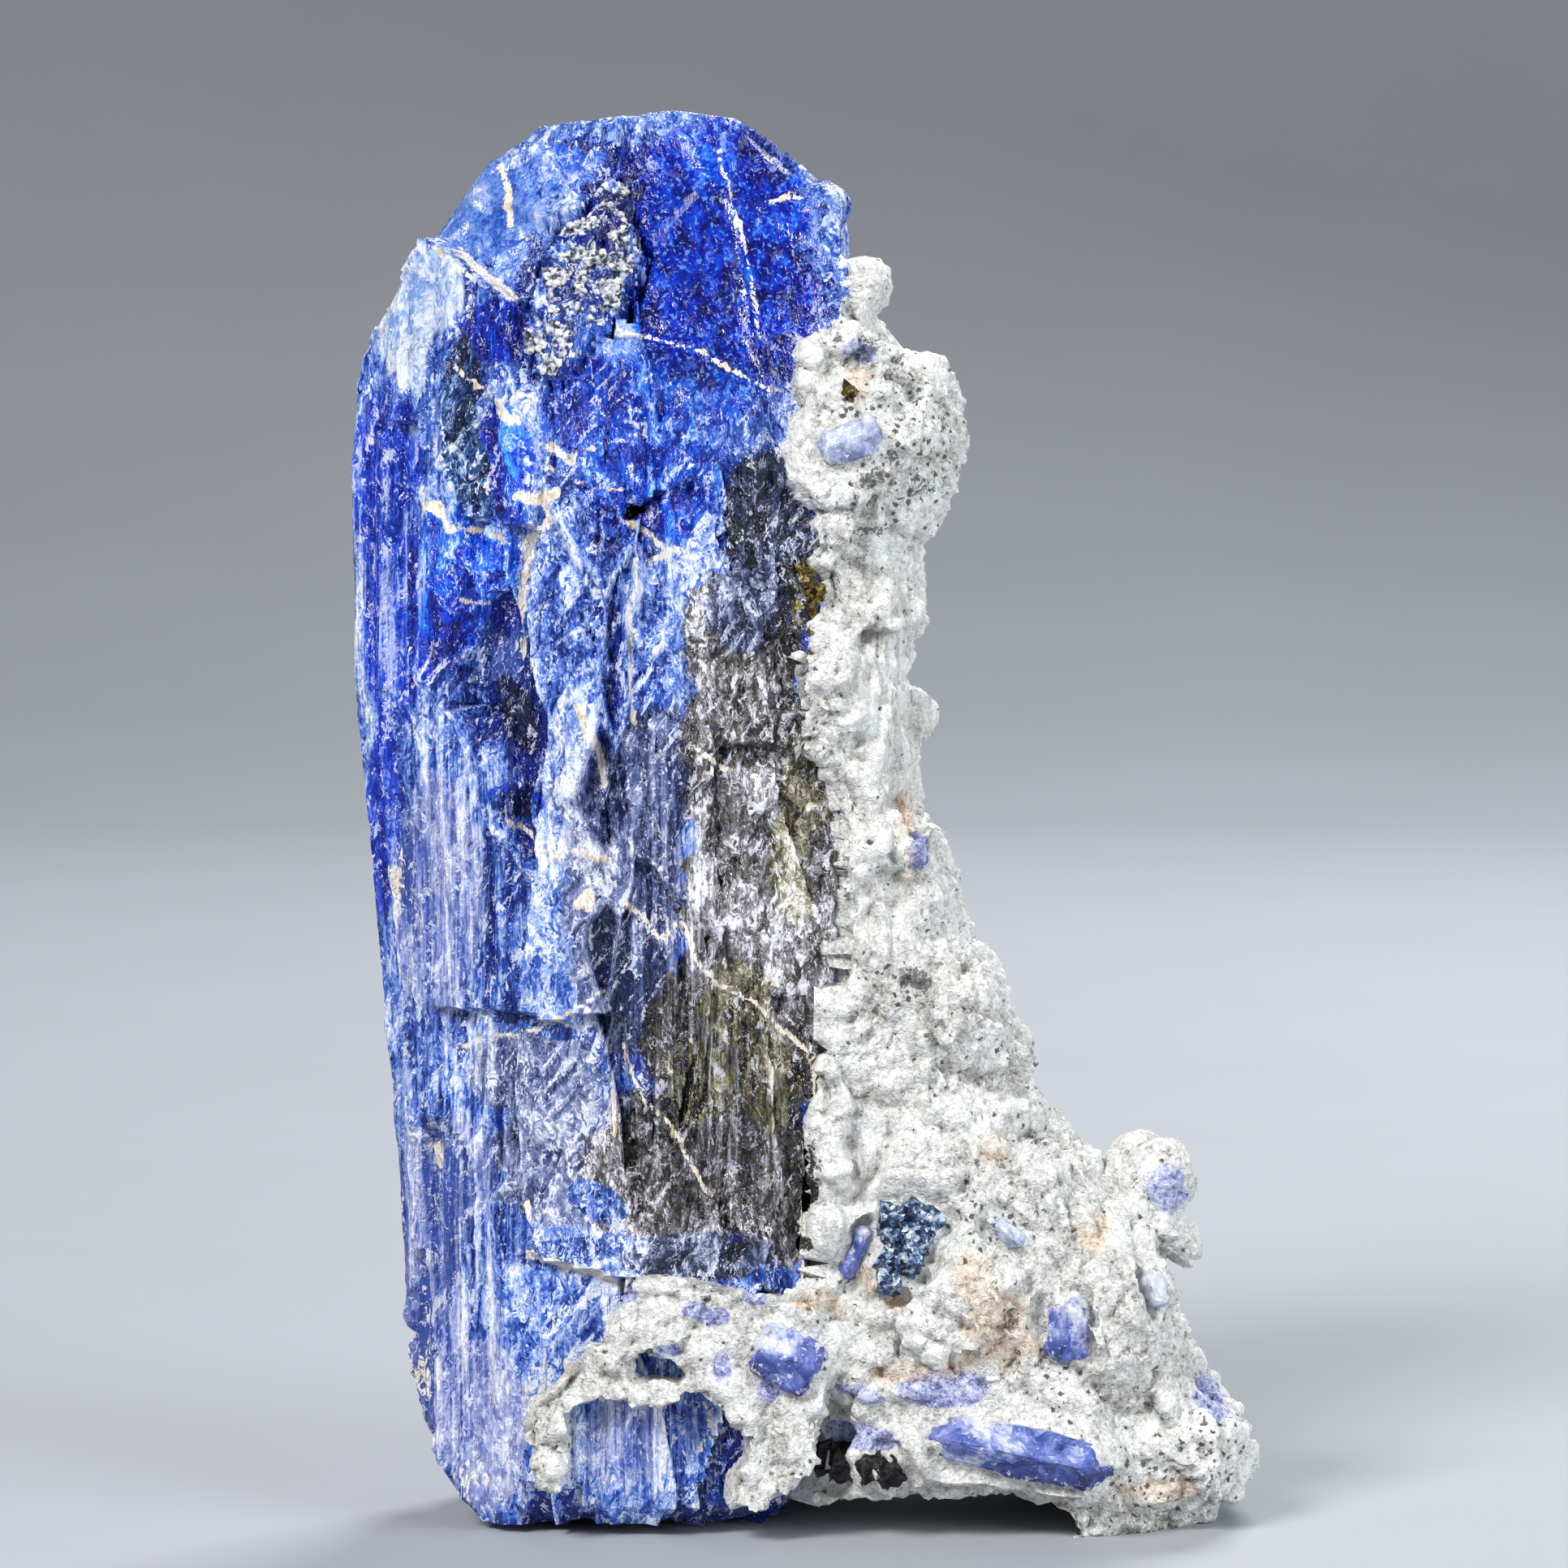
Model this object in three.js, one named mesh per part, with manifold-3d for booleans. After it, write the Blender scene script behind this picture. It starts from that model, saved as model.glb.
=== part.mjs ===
// A tall tanzanite crystal with pale matrix grown along its right side and foot, and small
// tanzanites, pyrite and graphite set in the matrix. Millimetres, +Z up, the front faces -Y,
// and the specimen stands on Z = 0.
import * as THREE from "three";
import { ImprovedNoise } from "three/addons/math/ImprovedNoise.js";
import { mergeVertices } from "three/addons/utils/BufferGeometryUtils.js";
import Module from "manifold-3d";

const wasm = await Module();
wasm.setup();

// Driving dimensions
const specimenHeight = 40;
const crystalHalfDepth = 5.0;
const pieceGap = 0.3; // clearance between neighbouring minerals
const cutSize = 80; // side of the blocks that cut a face

// Materials
const finishes = {
  tanzanite: new THREE.MeshStandardMaterial({ color: 0x2a46c4, roughness: 0.25, metalness: 0 }),
  matrix: new THREE.MeshStandardMaterial({ color: 0xc9c8bd, roughness: 0.85, metalness: 0 }),
  pyrite: new THREE.MeshStandardMaterial({ color: 0x6d6350, roughness: 0.3, metalness: 1 }),
  peppered: new THREE.MeshStandardMaterial({ color: 0x9a978c, roughness: 0.6, metalness: 0.3 }),
  graphite: new THREE.MeshStandardMaterial({ color: 0x121214, roughness: 0.5, metalness: 0.2 }),
};

// Repeatable random numbers
function seededRandom(seed) {
  let state = seed;
  return () => {
    state = (state + 0x6d2b79f5) | 0;
    let t = Math.imul(state ^ (state >>> 15), 1 | state);
    t = (t + Math.imul(t ^ (t >>> 7), 61 | t)) ^ t;
    return ((t ^ (t >>> 14)) >>> 0) / 4294967296;
  };
}

const perlin = new ImprovedNoise();

// Solids and geometry

function solidFrom(geometry) {
  const bare = geometry.clone();
  bare.deleteAttribute("normal");
  bare.deleteAttribute("uv");
  const merged = mergeVertices(bare, 1e-4);
  const vertProperties = new Float32Array(merged.getAttribute("position").array);
  const triVerts = new Uint32Array(merged.index.array);
  return new wasm.Manifold(new wasm.Mesh({ numProp: 3, vertProperties, triVerts }));
}

function geometryFrom(solid) {
  const { vertProperties, triVerts } = solid.getMesh();
  const geometry = new THREE.BufferGeometry();
  geometry.setAttribute("position", new THREE.BufferAttribute(vertProperties, 3));
  geometry.setIndex(new THREE.BufferAttribute(triVerts, 1));
  return geometry;
}

function joined(solids) {
  return solids.reduce((whole, next) => whole.add(next));
}

// Boolean work can leave crumbs, and only the largest body is the mineral.
function largestBody(solid) {
  return solid.decompose().reduce((a, b) => (b.volume() > a.volume() ? b : a));
}

// Takes off everything beyond the plane through a point, moved outwards by grow.
function faceted(solid, normal, point, grow = 0) {
  const outward = new THREE.Vector3(...normal).normalize();
  const turn = new THREE.Quaternion().setFromUnitVectors(new THREE.Vector3(0, 0, 1), outward);
  const centre = new THREE.Vector3(...point).addScaledVector(outward, cutSize / 2 + grow);
  const block = new THREE.BoxGeometry(cutSize, cutSize, cutSize);
  block.applyMatrix4(new THREE.Matrix4().compose(centre, turn, new THREE.Vector3(1, 1, 1)));
  return solid.subtract(solidFrom(block));
}

// A closed body of rings. place(step, level, onAxis) returns the [x, y, z] of each ring corner;
// steps run anticlockwise seen from above, and the caps' middles are asked for with onAxis.
function loft(steps, levels, place) {
  const geometry = new THREE.CylinderGeometry(1, 1, 1, steps, levels);
  const position = geometry.getAttribute("position");
  for (let i = 0; i < position.count; i++) {
    const [x, y, z] = [position.getX(i), position.getY(i), position.getZ(i)];
    const level = Math.round((y + 0.5) * levels);
    const angle = Math.atan2(x, z);
    const step = (Math.round((angle / (2 * Math.PI)) * steps) + steps) % steps;
    position.setXYZ(i, ...place(step, level, Math.hypot(x, z) < 0.5));
  }
  return solidFrom(geometry);
}

// A rough rounded mass with the given half sizes.
function lump(centre, halfSizes, { rough = 0.1, detail = 3, turn = [0, 0, 0], seed = 0 } = {}) {
  const geometry = new THREE.IcosahedronGeometry(1, detail);
  const position = geometry.getAttribute("position");
  for (let i = 0; i < position.count; i++) {
    const [x, y, z] = [position.getX(i), position.getY(i), position.getZ(i)];
    const swell = 1 + rough * (
      perlin.noise(x * 1.9 + seed, y * 1.9, z * 1.9) + 0.6 * perlin.noise(x * 4.3, y * 4.3 + seed, z * 4.3)
    ) * 2;
    position.setXYZ(i, x * swell, y * swell, z * swell);
  }
  const rotation = new THREE.Quaternion().setFromEuler(new THREE.Euler(...turn));
  geometry.applyMatrix4(
    new THREE.Matrix4().compose(new THREE.Vector3(...centre), rotation, new THREE.Vector3(...halfSizes)),
  );
  return solidFrom(geometry);
}

// Value at height z of a profile, a list of rows that each start with their height.
function rowAt(profile, z) {
  const above = profile.findIndex((row) => row[0] >= z);
  if (above <= 0) return profile[above < 0 ? profile.length - 1 : 0];
  const [low, high] = [profile[above - 1], profile[above]];
  const share = (z - low[0]) / (high[0] - low[0]);
  return low.map((value, i) => value + (high[i] - value) * share);
}

// The main crystal

// Height, then the left and right limits and the front and back depths as shares of the half depth.
const crystalProfile = [
  [0, -11.7, -0.3, 0.94, 0.86],
  [6, -11.65, 0.4, 0.99, 0.94],
  [12, -11.9, 0.95, 1.01, 0.97],
  [18, -12.4, 1.1, 1.01, 1.0],
  [24, -12.9, 1.1, 1.0, 1.0],
  [30, -12.95, 1.2, 0.97, 0.98],
  [36, -12.45, 1.2, 0.92, 0.95],
  [42, -11.8, 1.1, 0.88, 0.92],
];

// Corners of the prism from above, across and in depth, each -1 to 1, with the number of
// striation ridges on the face that runs on to the next corner.
const prismCorners = [
  [1.0, -0.74, 1],
  [1.0, 0.42, 1],
  [0.62, 0.95, 3],
  [-0.1, 1.0, 2],
  [-0.55, 0.86, 2],
  [-0.93, 0.36, 2],
  [-1.0, -0.12, 2],
  [-0.8, -0.58, 3],
  [-0.34, -0.93, 2],
  [0.1, -1.0, 3],
  [0.92, -0.98, 1],
];
const ridgeDepth = 0.032; // of the half width

function prismOutline() {
  const random = seededRandom(11);
  const outline = [];
  prismCorners.forEach(([u, v, ridges], i) => {
    const [nextU, nextV] = prismCorners[(i + 1) % prismCorners.length];
    const [alongU, alongV] = [nextU - u, nextV - v];
    const length = Math.hypot(alongU, alongV);
    outline.push([u, v]);
    for (let step = 1; step < 2 * ridges; step++) {
      const share = (step + 0.5 * (random() - 0.5)) / (2 * ridges);
      const inward = step % 2 ? ridgeDepth * (0.5 + random()) : 0.1 * ridgeDepth;
      outline.push([
        u + alongU * share - (alongV / length) * inward,
        v + alongV * share + (alongU / length) * inward,
      ]);
    }
  });
  return outline;
}

const ridgedOutline = prismOutline();

function prismBody(outline, grow) {
  const levels = crystalProfile.length - 1;
  return loft(outline.length, levels, (step, level, onAxis) => {
    const [z, left, right, front, back] = crystalProfile[level];
    const middle = (left + right) / 2;
    if (onAxis) return [middle, 0, z];
    const [u, v] = outline[step];
    const halfWidth = (right - left) / 2 + grow;
    const halfDepth = crystalHalfDepth * (v < 0 ? front : back) + grow;
    return [middle + u * halfWidth, v * halfDepth, z];
  });
}

// Faces that end the crystal: outward normal, then a point on the face.
const topFaces = {
  upperLeft: [[-0.82, -0.08, 0.57], [-9.9, 0, 37.15]],
  upperLeftCrest: [[-0.62, 0.05, 0.78], [-8.5, 0, 38.85]],
  crestLeft: [[-0.13, -0.02, 0.99], [-5.6, 0, 39.82]],
  crestRight: [[0.12, 0.03, 0.99], [-2.4, 0, 39.85]],
  rightShoulder: [[0.68, -0.05, 0.73], [-1.1, 0, 39.3]],
  rightSlope: [[0.62, -0.1, 0.78], [0.3, 0, 38.05]],
  rightEnd: [[0.93, 0.05, 0.36], [1.1, 0, 36.8]],
  blueRoof: [[0.13, -0.88, 0.46], [-3.2, -0.7, 39.75]],
  paleRoof: [[-0.34, -0.76, 0.56], [-7.9, -1.0, 38.6]],
  backRoof: [[0.08, 0.8, 0.6], [-4.2, 0.9, 39.8]],
  backLeftRoof: [[-0.5, 0.68, 0.54], [-9.0, 1.6, 38.0]],
};
const shoulderFaces = {
  outer: [[-0.965, -0.05, 0.26], [-12.75, 0, 31.6]],
  upper: [[-0.87, 0.02, 0.5], [-12.15, 0, 33.95]],
  ledge: [[0.42, -0.34, 0.84], [-10.5, -2.6, 36.35]],
  inner: [[0.97, 0.05, 0.22], [-8.1, -3.5, 34.8]],
  back: [[-0.2, 0.93, 0.3], [-10.5, -0.4, 35.5]],
};
const footFaces = {
  leftHigh: [[-0.972, 0, -0.235], [-11.6, 0, 5.0]],
  leftLow: [[-0.83, 0, -0.55], [-10.75, 0, 2.3]],
  leftHeel: [[-0.62, 0.1, -0.78], [-9.55, 0, 0.55]],
  frontHeel: [[0.02, -0.72, -0.69], [-6, -4.6, 0.55]],
  backHeel: [[-0.05, 0.8, -0.6], [-6, 4.1, 0.9]],
};

function cutFaces(solid, faces, grow) {
  return Object.values(faces).reduce((rest, [normal, point]) => faceted(rest, normal, point, grow), solid);
}

// Broken ledges on the front and back: centre, size, then turn about X, Y and Z in degrees.
// The turn about X makes a ledge deep at its step and lets it fade out at the other end.
const ledges = [
  [[-9.45, -4.2, 11.2], [3.6, 1.6, 7.2], [-4, 4, -29]],
  [[-6.4, -5.25, 11.1], [3.4, 1.6, 7.2], [-4, -6, -7]],
  [[-6.7, -5.2, 5.6], [4.6, 1.6, 4.2], [-6, 13, -7]],
  [[-9.1, -4.3, 25.8], [2.3, 1.6, 5.4], [5, 8, -29]],
  [[-11.9, -2.5, 26.5], [1.1, 1.6, 9.5], [0, 2, -52]],
  [[-4.3, -5.5, 27.0], [4.8, 1.4, 4.2], [-5, -24, 5]],
  [[-0.9, -5.3, 18.5], [3.2, 1.3, 7.5], [-3, 4, 8]],
  [[-10.7, 3.5, 14.0], [4.6, 1.6, 9.0], [4, -5, 44]],
  [[-4.5, 5.5, 26.0], [5.4, 1.5, 6.0], [5, 18, -3]],
  [[-3.0, 5.4, 9.5], [4.6, 1.5, 5.0], [-5, -12, 4]],
];

function ledgeCut([centre, size, turns]) {
  const block = new THREE.BoxGeometry(...size);
  const rotation = new THREE.Euler(...turns.map((turn) => THREE.MathUtils.degToRad(turn)));
  block.applyMatrix4(new THREE.Matrix4().makeRotationFromEuler(rotation).setPosition(...centre));
  return solidFrom(block);
}

// The crystal, or the plainer room that it takes when grow is the gap to its neighbours.
function crystalSolid(grow = 0) {
  const prism = prismBody(grow ? prismCorners : ridgedOutline, grow);
  const main = cutFaces(prism, topFaces, grow);
  const shoulder = cutFaces(prism, { ...shoulderFaces, crest: [[0, 0, 1], [0, 0, 36.4]] }, grow);
  const crownLump = lump([0.45, -0.6, 37.35], [0.85 + grow, 1.1 + grow, 0.75 + grow], { rough: 0.06, seed: 5 });
  let whole = joined([main, shoulder, crownLump]);
  whole = cutFaces(whole, footFaces, grow);
  if (grow === 0) whole = ledges.reduce((rest, ledge) => rest.subtract(ledgeCut(ledge)), whole);
  return largestBody(faceted(whole, [0, 0, -1], [0, 0, 0]));
}

// The matrix

// Height, then how far right the matrix reaches at that height.
const matrixEdge = [
  [0, 11.5],
  [0.8, 12.6],
  [1.7, 12.95],
  [2.7, 12.4],
  [4.1, 11.5],
  [6.0, 10.6],
  [7.3, 10.3],
  [8.6, 9.6],
  [10.2, 8.4],
  [11.05, 7.5],
  [11.4, 6.95],
  [12.0, 6.9],
  [12.5, 6.4],
  [13.4, 6.6],
  [14.5, 5.65],
  [15.2, 5.7],
  [16.0, 5.05],
  [16.9, 4.35],
  [18.2, 4.3],
  [19.5, 4.0],
  [20.2, 3.35],
  [21.8, 3.15],
  [23.4, 3.05],
  [24.1, 2.75],
  [25.9, 3.3],
  [27.8, 3.2],
  [28.6, 3.6],
  [30.5, 3.7],
  [32.6, 3.4],
  [33.4, 2.5],
  [34.2, 1.9],
  [36.5, 1.2],
];

// Height, then the left limit and the front and back depths.
const matrixDepth = [
  [0, -1.0, 4.6, 4.2],
  [4, -1.4, 5.3, 5.2],
  [8, -1.4, 5.2, 5.1],
  [12, -1.2, 4.9, 4.7],
  [18, -1.0, 4.7, 4.3],
  [24, -1.1, 4.6, 3.9],
  [28, -0.9, 4.6, 3.7],
  [31, -0.7, 4.7, 3.7],
  [34, -0.2, 3.3, 2.3],
  [36.5, 0.5, 1.9, 1.2],
];
const sectionSquareness = 0.75; // 1 is an ellipse, and less is squarer

function matrixBody() {
  const steps = 22;
  return loft(steps, matrixEdge.length - 1, (step, level, onAxis) => {
    const [z, right] = matrixEdge[level];
    const [, left, front, back] = rowAt(matrixDepth, z);
    const middle = (left + right) / 2;
    if (onAxis) return [middle, 0, z];
    const angle = (2 * Math.PI * step) / steps;
    const [across, deep] = [Math.cos(angle), Math.sin(angle)].map(
      (part) => Math.sign(part) * Math.abs(part) ** sectionSquareness,
    );
    const bumps = perlin.noise(across * 2.3 + 7, deep * 2.6, z * 0.5) + perlin.noise(across * 4, deep * 5 + 3, z);
    const swell = 1 + 0.16 * (1 - 0.85 * Math.max(across, 0)) * bumps;
    const halfDepth = deep < 0 ? front : back;
    return [middle + ((right - left) / 2) * across * swell, halfDepth * deep * swell, z];
  });
}

// Named lumps: centre, half sizes, roughness.
const lumps = {
  topBead: [[1.6, -1.3, 35.1], [0.82, 0.9, 0.85], 0.03],
  upperKnot: [[2.0, -1.7, 30.75], [2.55, 3.5, 2.6], 0.07],
  upperKnotCrown: [[2.9, -1.2, 32.2], [1.3, 2.1, 1.05], 0.08],
  upperKnotChin: [[2.5, -2.3, 28.8], [1.35, 2.2, 1.0], 0.08],
  knotFlap: [[0.75, -4.75, 30.7], [1.45, 1.3, 2.0], 0.08],
  knotRoot: [[0.9, -4.3, 28.4], [0.75, 1.2, 1.0], 0.08],
  columnFlap: [[0.85, -4.5, 24.1], [1.15, 1.0, 1.6], 0.08],
  waistFold: [[1.7, -2.2, 26.0], [1.5, 2.9, 1.3], 0.08],
  tooth: [[3.0, -1.0, 22.7], [0.78, 1.3, 1.0], 0.05],
  columnFold: [[2.2, -2.9, 19.4], [1.7, 2.2, 1.6], 0.08],
  hipFold: [[3.9, -2.6, 14.6], [2.0, 2.7, 1.9], 0.08],
  pebble: [[7.5, -1.9, 10.3], [0.8, 1.1, 0.8], 0.05],
  ball: [[9.75, -1.7, 9.9], [1.4, 1.6, 1.42], 0.03],
  ballNeck: [[8.9, -1.3, 8.5], [1.9, 2.3, 1.3], 0.08],
  knob: [[10.3, -1.5, 8.0], [0.95, 1.2, 0.8], 0.08],
  cheek: [[7.9, -3.4, 6.0], [2.4, 2.3, 2.5], 0.07],
  brow: [[4.3, -3.9, 6.9], [3.2, 2.0, 2.6], 0.07],
  heel: [[10.6, -1.9, 2.2], [1.9, 2.9, 1.9], 0.07],
  frontLip: [[4.4, -4.3, 2.5], [3.5, 1.75, 1.3], 0.08],
  frontLipRight: [[7.3, -4.1, 2.1], [2.0, 1.8, 1.4], 0.08],
  backSwell: [[4.9, 4.0, 5.0], [3.9, 2.1, 3.4], 0.08],
  backFold: [[2.0, 3.6, 12.4], [2.9, 1.7, 3.1], 0.08],
};

// The thin crust over the foot of the crystal's front: its outline, across and up, clockwise from
// the crown of its arch, and the window in it, anticlockwise.
const crustOutline = [
  [-4.6, 7.55], [-3.4, 7.5], [-2.1, 7.25], [-1.15, 6.9], [-0.4, 7.05], [0.3, 7.25], [0.6, 4.7], [0.3, 2.4],
  [-0.45, 1.65], [-1.4, 1.0], [-2.2, 1.05], [-2.2, 1.75], [-1.65, 2.35], [-1.7, 3.1], [-2.4, 3.85], [-3.4, 4.3],
  [-4.15, 3.85], [-5.1, 4.1], [-5.9, 4.0], [-6.7, 3.7], [-6.65, 2.6], [-6.95, 1.55], [-7.45, 1.45], [-7.75, 2.4],
  [-7.95, 3.25], [-7.75, 4.05], [-7.0, 4.5], [-6.55, 5.45], [-5.7, 6.0], [-5.1, 6.95],
];
const crustWindow = [
  [-4.8, 4.75], [-4.1, 4.65], [-3.4, 4.6], [-3.45, 4.95], [-4.5, 5.4], [-5.0, 5.3],
];
const crustFront = 5.8; // how far it stands in front of the crystal's axis
const crustDepth = 2.0;

// Swellings of the crust: centre, half sizes, then the lean of the first in degrees.
const crustLumps = [
  [[-0.7, -4.6, 5.4], [2.1, 1.45, 1.7], 0],
  [[-3.2, -4.75, 6.0], [1.7, 1.2, 1.0], 8],
  [[-5.6, -4.75, 4.9], [1.2, 1.15, 0.75], -30],
  [[-7.3, -4.6, 2.6], [1.1, 1.1, 0.4], -84],
  [[-0.9, -4.6, 2.6], [1.4, 1.2, 0.8], -70],
  [[-0.6, 4.45, 4.4], [2.4, 1.1, 1.9], -14],
  [[-2.8, 4.3, 2.9], [2.1, 1.0, 1.4], -30],
];

function crustSheet() {
  const shape = new THREE.Shape(crustOutline.map(([x, z]) => new THREE.Vector2(x, z)));
  shape.holes.push(new THREE.Path(crustWindow.map(([x, z]) => new THREE.Vector2(x, z))));
  const geometry = new THREE.ExtrudeGeometry(shape, { depth: crustDepth, bevelEnabled: false });
  geometry.rotateX(Math.PI / 2);
  geometry.translate(0, crustDepth - crustFront, 0);
  return solidFrom(geometry);
}

function matrixSolid() {
  const named = Object.values(lumps).map(([centre, halfSizes, rough], i) =>
    lump(centre, halfSizes, { rough, detail: Math.max(...halfSizes) > 2.2 ? 2 : 1, seed: i * 1.7 }),
  );
  const swellings = crustLumps.map(([centre, halfSizes, lean], i) =>
    lump(centre, halfSizes, {
      rough: 0.08, detail: 1, turn: [0, THREE.MathUtils.degToRad(lean), 0], seed: 40 + i * 2.3,
    }),
  );
  const whole = joined([matrixBody(), ...named, crustSheet(), ...swellings]);
  return largestBody(underCut(whole.subtract(crystalRoom)));
}

// The arch under the bridge between the crystal's base and the right foot, and the flat sole.
function underCut(solid) {
  const arch = lump([3.6, -1.5, 0.1], [4.3, 8, 1.3], { rough: 0.06, detail: 2, seed: 91 });
  return faceted(solid.subtract(arch), [0, 0, -1], [0, 0, 0]);
}

// Small crystals and grains in the matrix

// A six-sided prism with chisel ends, its long axis along X before it is turned.
function smallPrism(length, width, thickness, grow) {
  const ends = [0, 0.12, 0.88, 1];
  const swell = [0.45, 1, 0.94, 0.4];
  const sides = 6;
  return loft(sides, ends.length - 1, (step, level, onAxis) => {
    const z = (ends[level] - 0.5) * (length + 2 * grow);
    if (onAxis) return [0, 0, z];
    const angle = (2 * Math.PI * (step + 0.5)) / sides;
    const reach = swell[level];
    return [
      Math.cos(angle) * reach * (width / 2 + grow),
      Math.sin(angle) * reach * (thickness / 2 + grow),
      z,
    ];
  });
}

// Name, place in the front view, length, width, thickness, lean from upright in degrees, and how
// far it stands proud.
const smallCrystals = [
  ["foot_tanzanite", [5.95, 2.6], 5.3, 1.9, 2.2, -82, 0.3],
  ["hollow_tanzanite", [7.3, 5.95], 2.1, 1.6, 1.6, -15, 0.05],
  ["left_tanzanite", [-0.55, 5.3], 2.2, 2.0, 1.2, -55, 0.15],
  ["upper_tanzanite", [1.15, 30.8], 1.9, 1.4, 1.0, -75, 0.15],
  ["right_tanzanite", [9.75, 7.0], 1.2, 1.0, 1.2, -22, 0.1],
  ["brow_tanzanite", [5.6, 8.65], 1.2, 0.8, 1.0, -50, 0.1],
  ["sliver_tanzanite", [1.35, 8.1], 1.9, 0.75, 1.2, 24, 0.1],
];

// Where a line along +Y first meets a solid, at a place in the front view.
function frontOf(solid, x, z) {
  const mesh = new THREE.Mesh(geometryFrom(solid), new THREE.MeshBasicMaterial({ side: THREE.DoubleSide }));
  const ray = new THREE.Raycaster(new THREE.Vector3(x, -cutSize, z), new THREE.Vector3(0, 1, 0));
  return ray.intersectObject(mesh)[0].point.y;
}

function placed(solid, lean, [x, y, z]) {
  const geometry = geometryFrom(solid);
  geometry.rotateY(THREE.MathUtils.degToRad(lean));
  geometry.translate(x, y, z);
  return solidFrom(geometry);
}

function setCrystal([name, [x, z], length, width, thickness, lean, proud], host) {
  const y = frontOf(host, x, z) - proud + thickness / 2;
  const made = (grow) => placed(smallPrism(length, width, thickness, grow), lean, [x, y, z]);
  return { name, finish: "tanzanite", solid: largestBody(made(0).subtract(crystalRoom)), room: made(pieceGap) };
}

// Grains grown into each other: each a turned cube, given by its place in the front view and its edge.
const grainSets = {
  pyrite_cluster: [
    [2.35, 9.1, 0.75], [2.95, 9.2, 0.85], [3.4, 9.05, 0.65], [2.5, 8.5, 0.85], [3.05, 8.5, 0.8], [2.45, 7.9, 0.8],
    [2.85, 7.95, 0.65], [2.3, 7.35, 0.65],
  ],
  pyrite_grain: [[1.05, 32.25, 0.5], [1.25, 32.0, 0.4]],
  pyrite_seam: [[-0.1, 27.05, 0.5], [0.15, 26.6, 0.6], [0.0, 26.1, 0.5], [0.15, 25.6, 0.55], [0.3, 25.1, 0.5]],
  graphite_mass: [[0.5, 2.2, 0.8], [1.1, 2.15, 0.9], [1.75, 2.1, 0.8], [2.3, 2.0, 0.7]],
  peppered_crust: [
    [-5.45, 37.6, 0.7], [-5.6, 36.9, 0.95], [-6.2, 36.4, 0.95], [-5.3, 36.2, 0.85], [-6.7, 35.8, 0.9],
    [-6.0, 35.6, 1.0], [-5.1, 35.4, 0.9], [-6.9, 35.0, 0.95], [-6.2, 34.8, 1.0], [-5.5, 34.7, 0.85],
    [-7.2, 34.3, 0.9], [-6.6, 34.1, 0.95], [-6.0, 34.2, 0.7], [-7.35, 33.6, 0.8], [-6.8, 33.4, 0.75],
    [-7.1, 32.9, 0.6],
  ],
};
const grainProud = 0.24; // share of a grain's edge that stands out of its host

function grainCluster(name, finish, host, seed) {
  const grains = grainSets[name].map(([x, z, edge]) => [x, frontOf(host, x, z), z, edge]);
  const made = (grow) => {
    const random = seededRandom(seed);
    return joined(grains.map(([x, y, z, edge]) => {
      const side = edge + 2 * grow;
      const cube = new THREE.BoxGeometry(side, side, side);
      const turn = new THREE.Euler(random() * 3, random() * 3, random() * 3);
      const depth = y + edge * (0.5 - grainProud);
      cube.applyMatrix4(new THREE.Matrix4().makeRotationFromEuler(turn).setPosition(x, depth, z));
      return solidFrom(cube);
    }));
  };
  const solid = host === crystalWhole ? made(0) : made(0).subtract(crystalRoom);
  return { name, finish, solid: largestBody(solid), room: made(pieceGap) };
}

// Build every piece, then cut each one's room out of what holds it.
const crystalWhole = crystalSolid();
const crystalRoom = crystalSolid(pieceGap);
const matrixWhole = matrixSolid();

const inMatrix = [
  ...smallCrystals.map((row) => setCrystal(row, matrixWhole)),
  grainCluster("pyrite_cluster", "pyrite", matrixWhole, 3),
  grainCluster("pyrite_grain", "pyrite", matrixWhole, 8),
  grainCluster("graphite_mass", "graphite", matrixWhole, 6),
];

const onCrystal = [
  grainCluster("pyrite_seam", "pyrite", crystalWhole, 5),
  grainCluster("peppered_crust", "peppered", crystalWhole, 4),
];

function hollowed(solid, pieces) {
  return largestBody(pieces.reduce((rest, piece) => rest.subtract(piece.room), solid));
}

const specimen = new THREE.Group();

function addPiece(name, finish, solid) {
  const mesh = new THREE.Mesh(geometryFrom(solid), finishes[finish]);
  mesh.name = name;
  specimen.add(mesh);
}

addPiece("tanzanite_crystal", "tanzanite", hollowed(crystalWhole, onCrystal));
addPiece("matrix", "matrix", hollowed(matrixWhole, [...inMatrix, ...onCrystal]));
for (const { name, finish, solid } of [...inMatrix, ...onCrystal]) addPiece(name, finish, solid);

// The origin is the middle of the specimen's box, at its base.
const box = new THREE.Box3().setFromObject(specimen);
const middle = box.getCenter(new THREE.Vector3());
const rise = specimenHeight / (box.max.z - box.min.z);
for (const mesh of specimen.children) {
  mesh.geometry.translate(-middle.x, -middle.y, -box.min.z);
  mesh.geometry.scale(rise, rise, rise);
}

export default specimen;
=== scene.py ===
import math
import random
import bpy
import bmesh
import numpy as np
from mathutils import Matrix, Vector, noise
from mathutils.bvhtree import BVHTree


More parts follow.
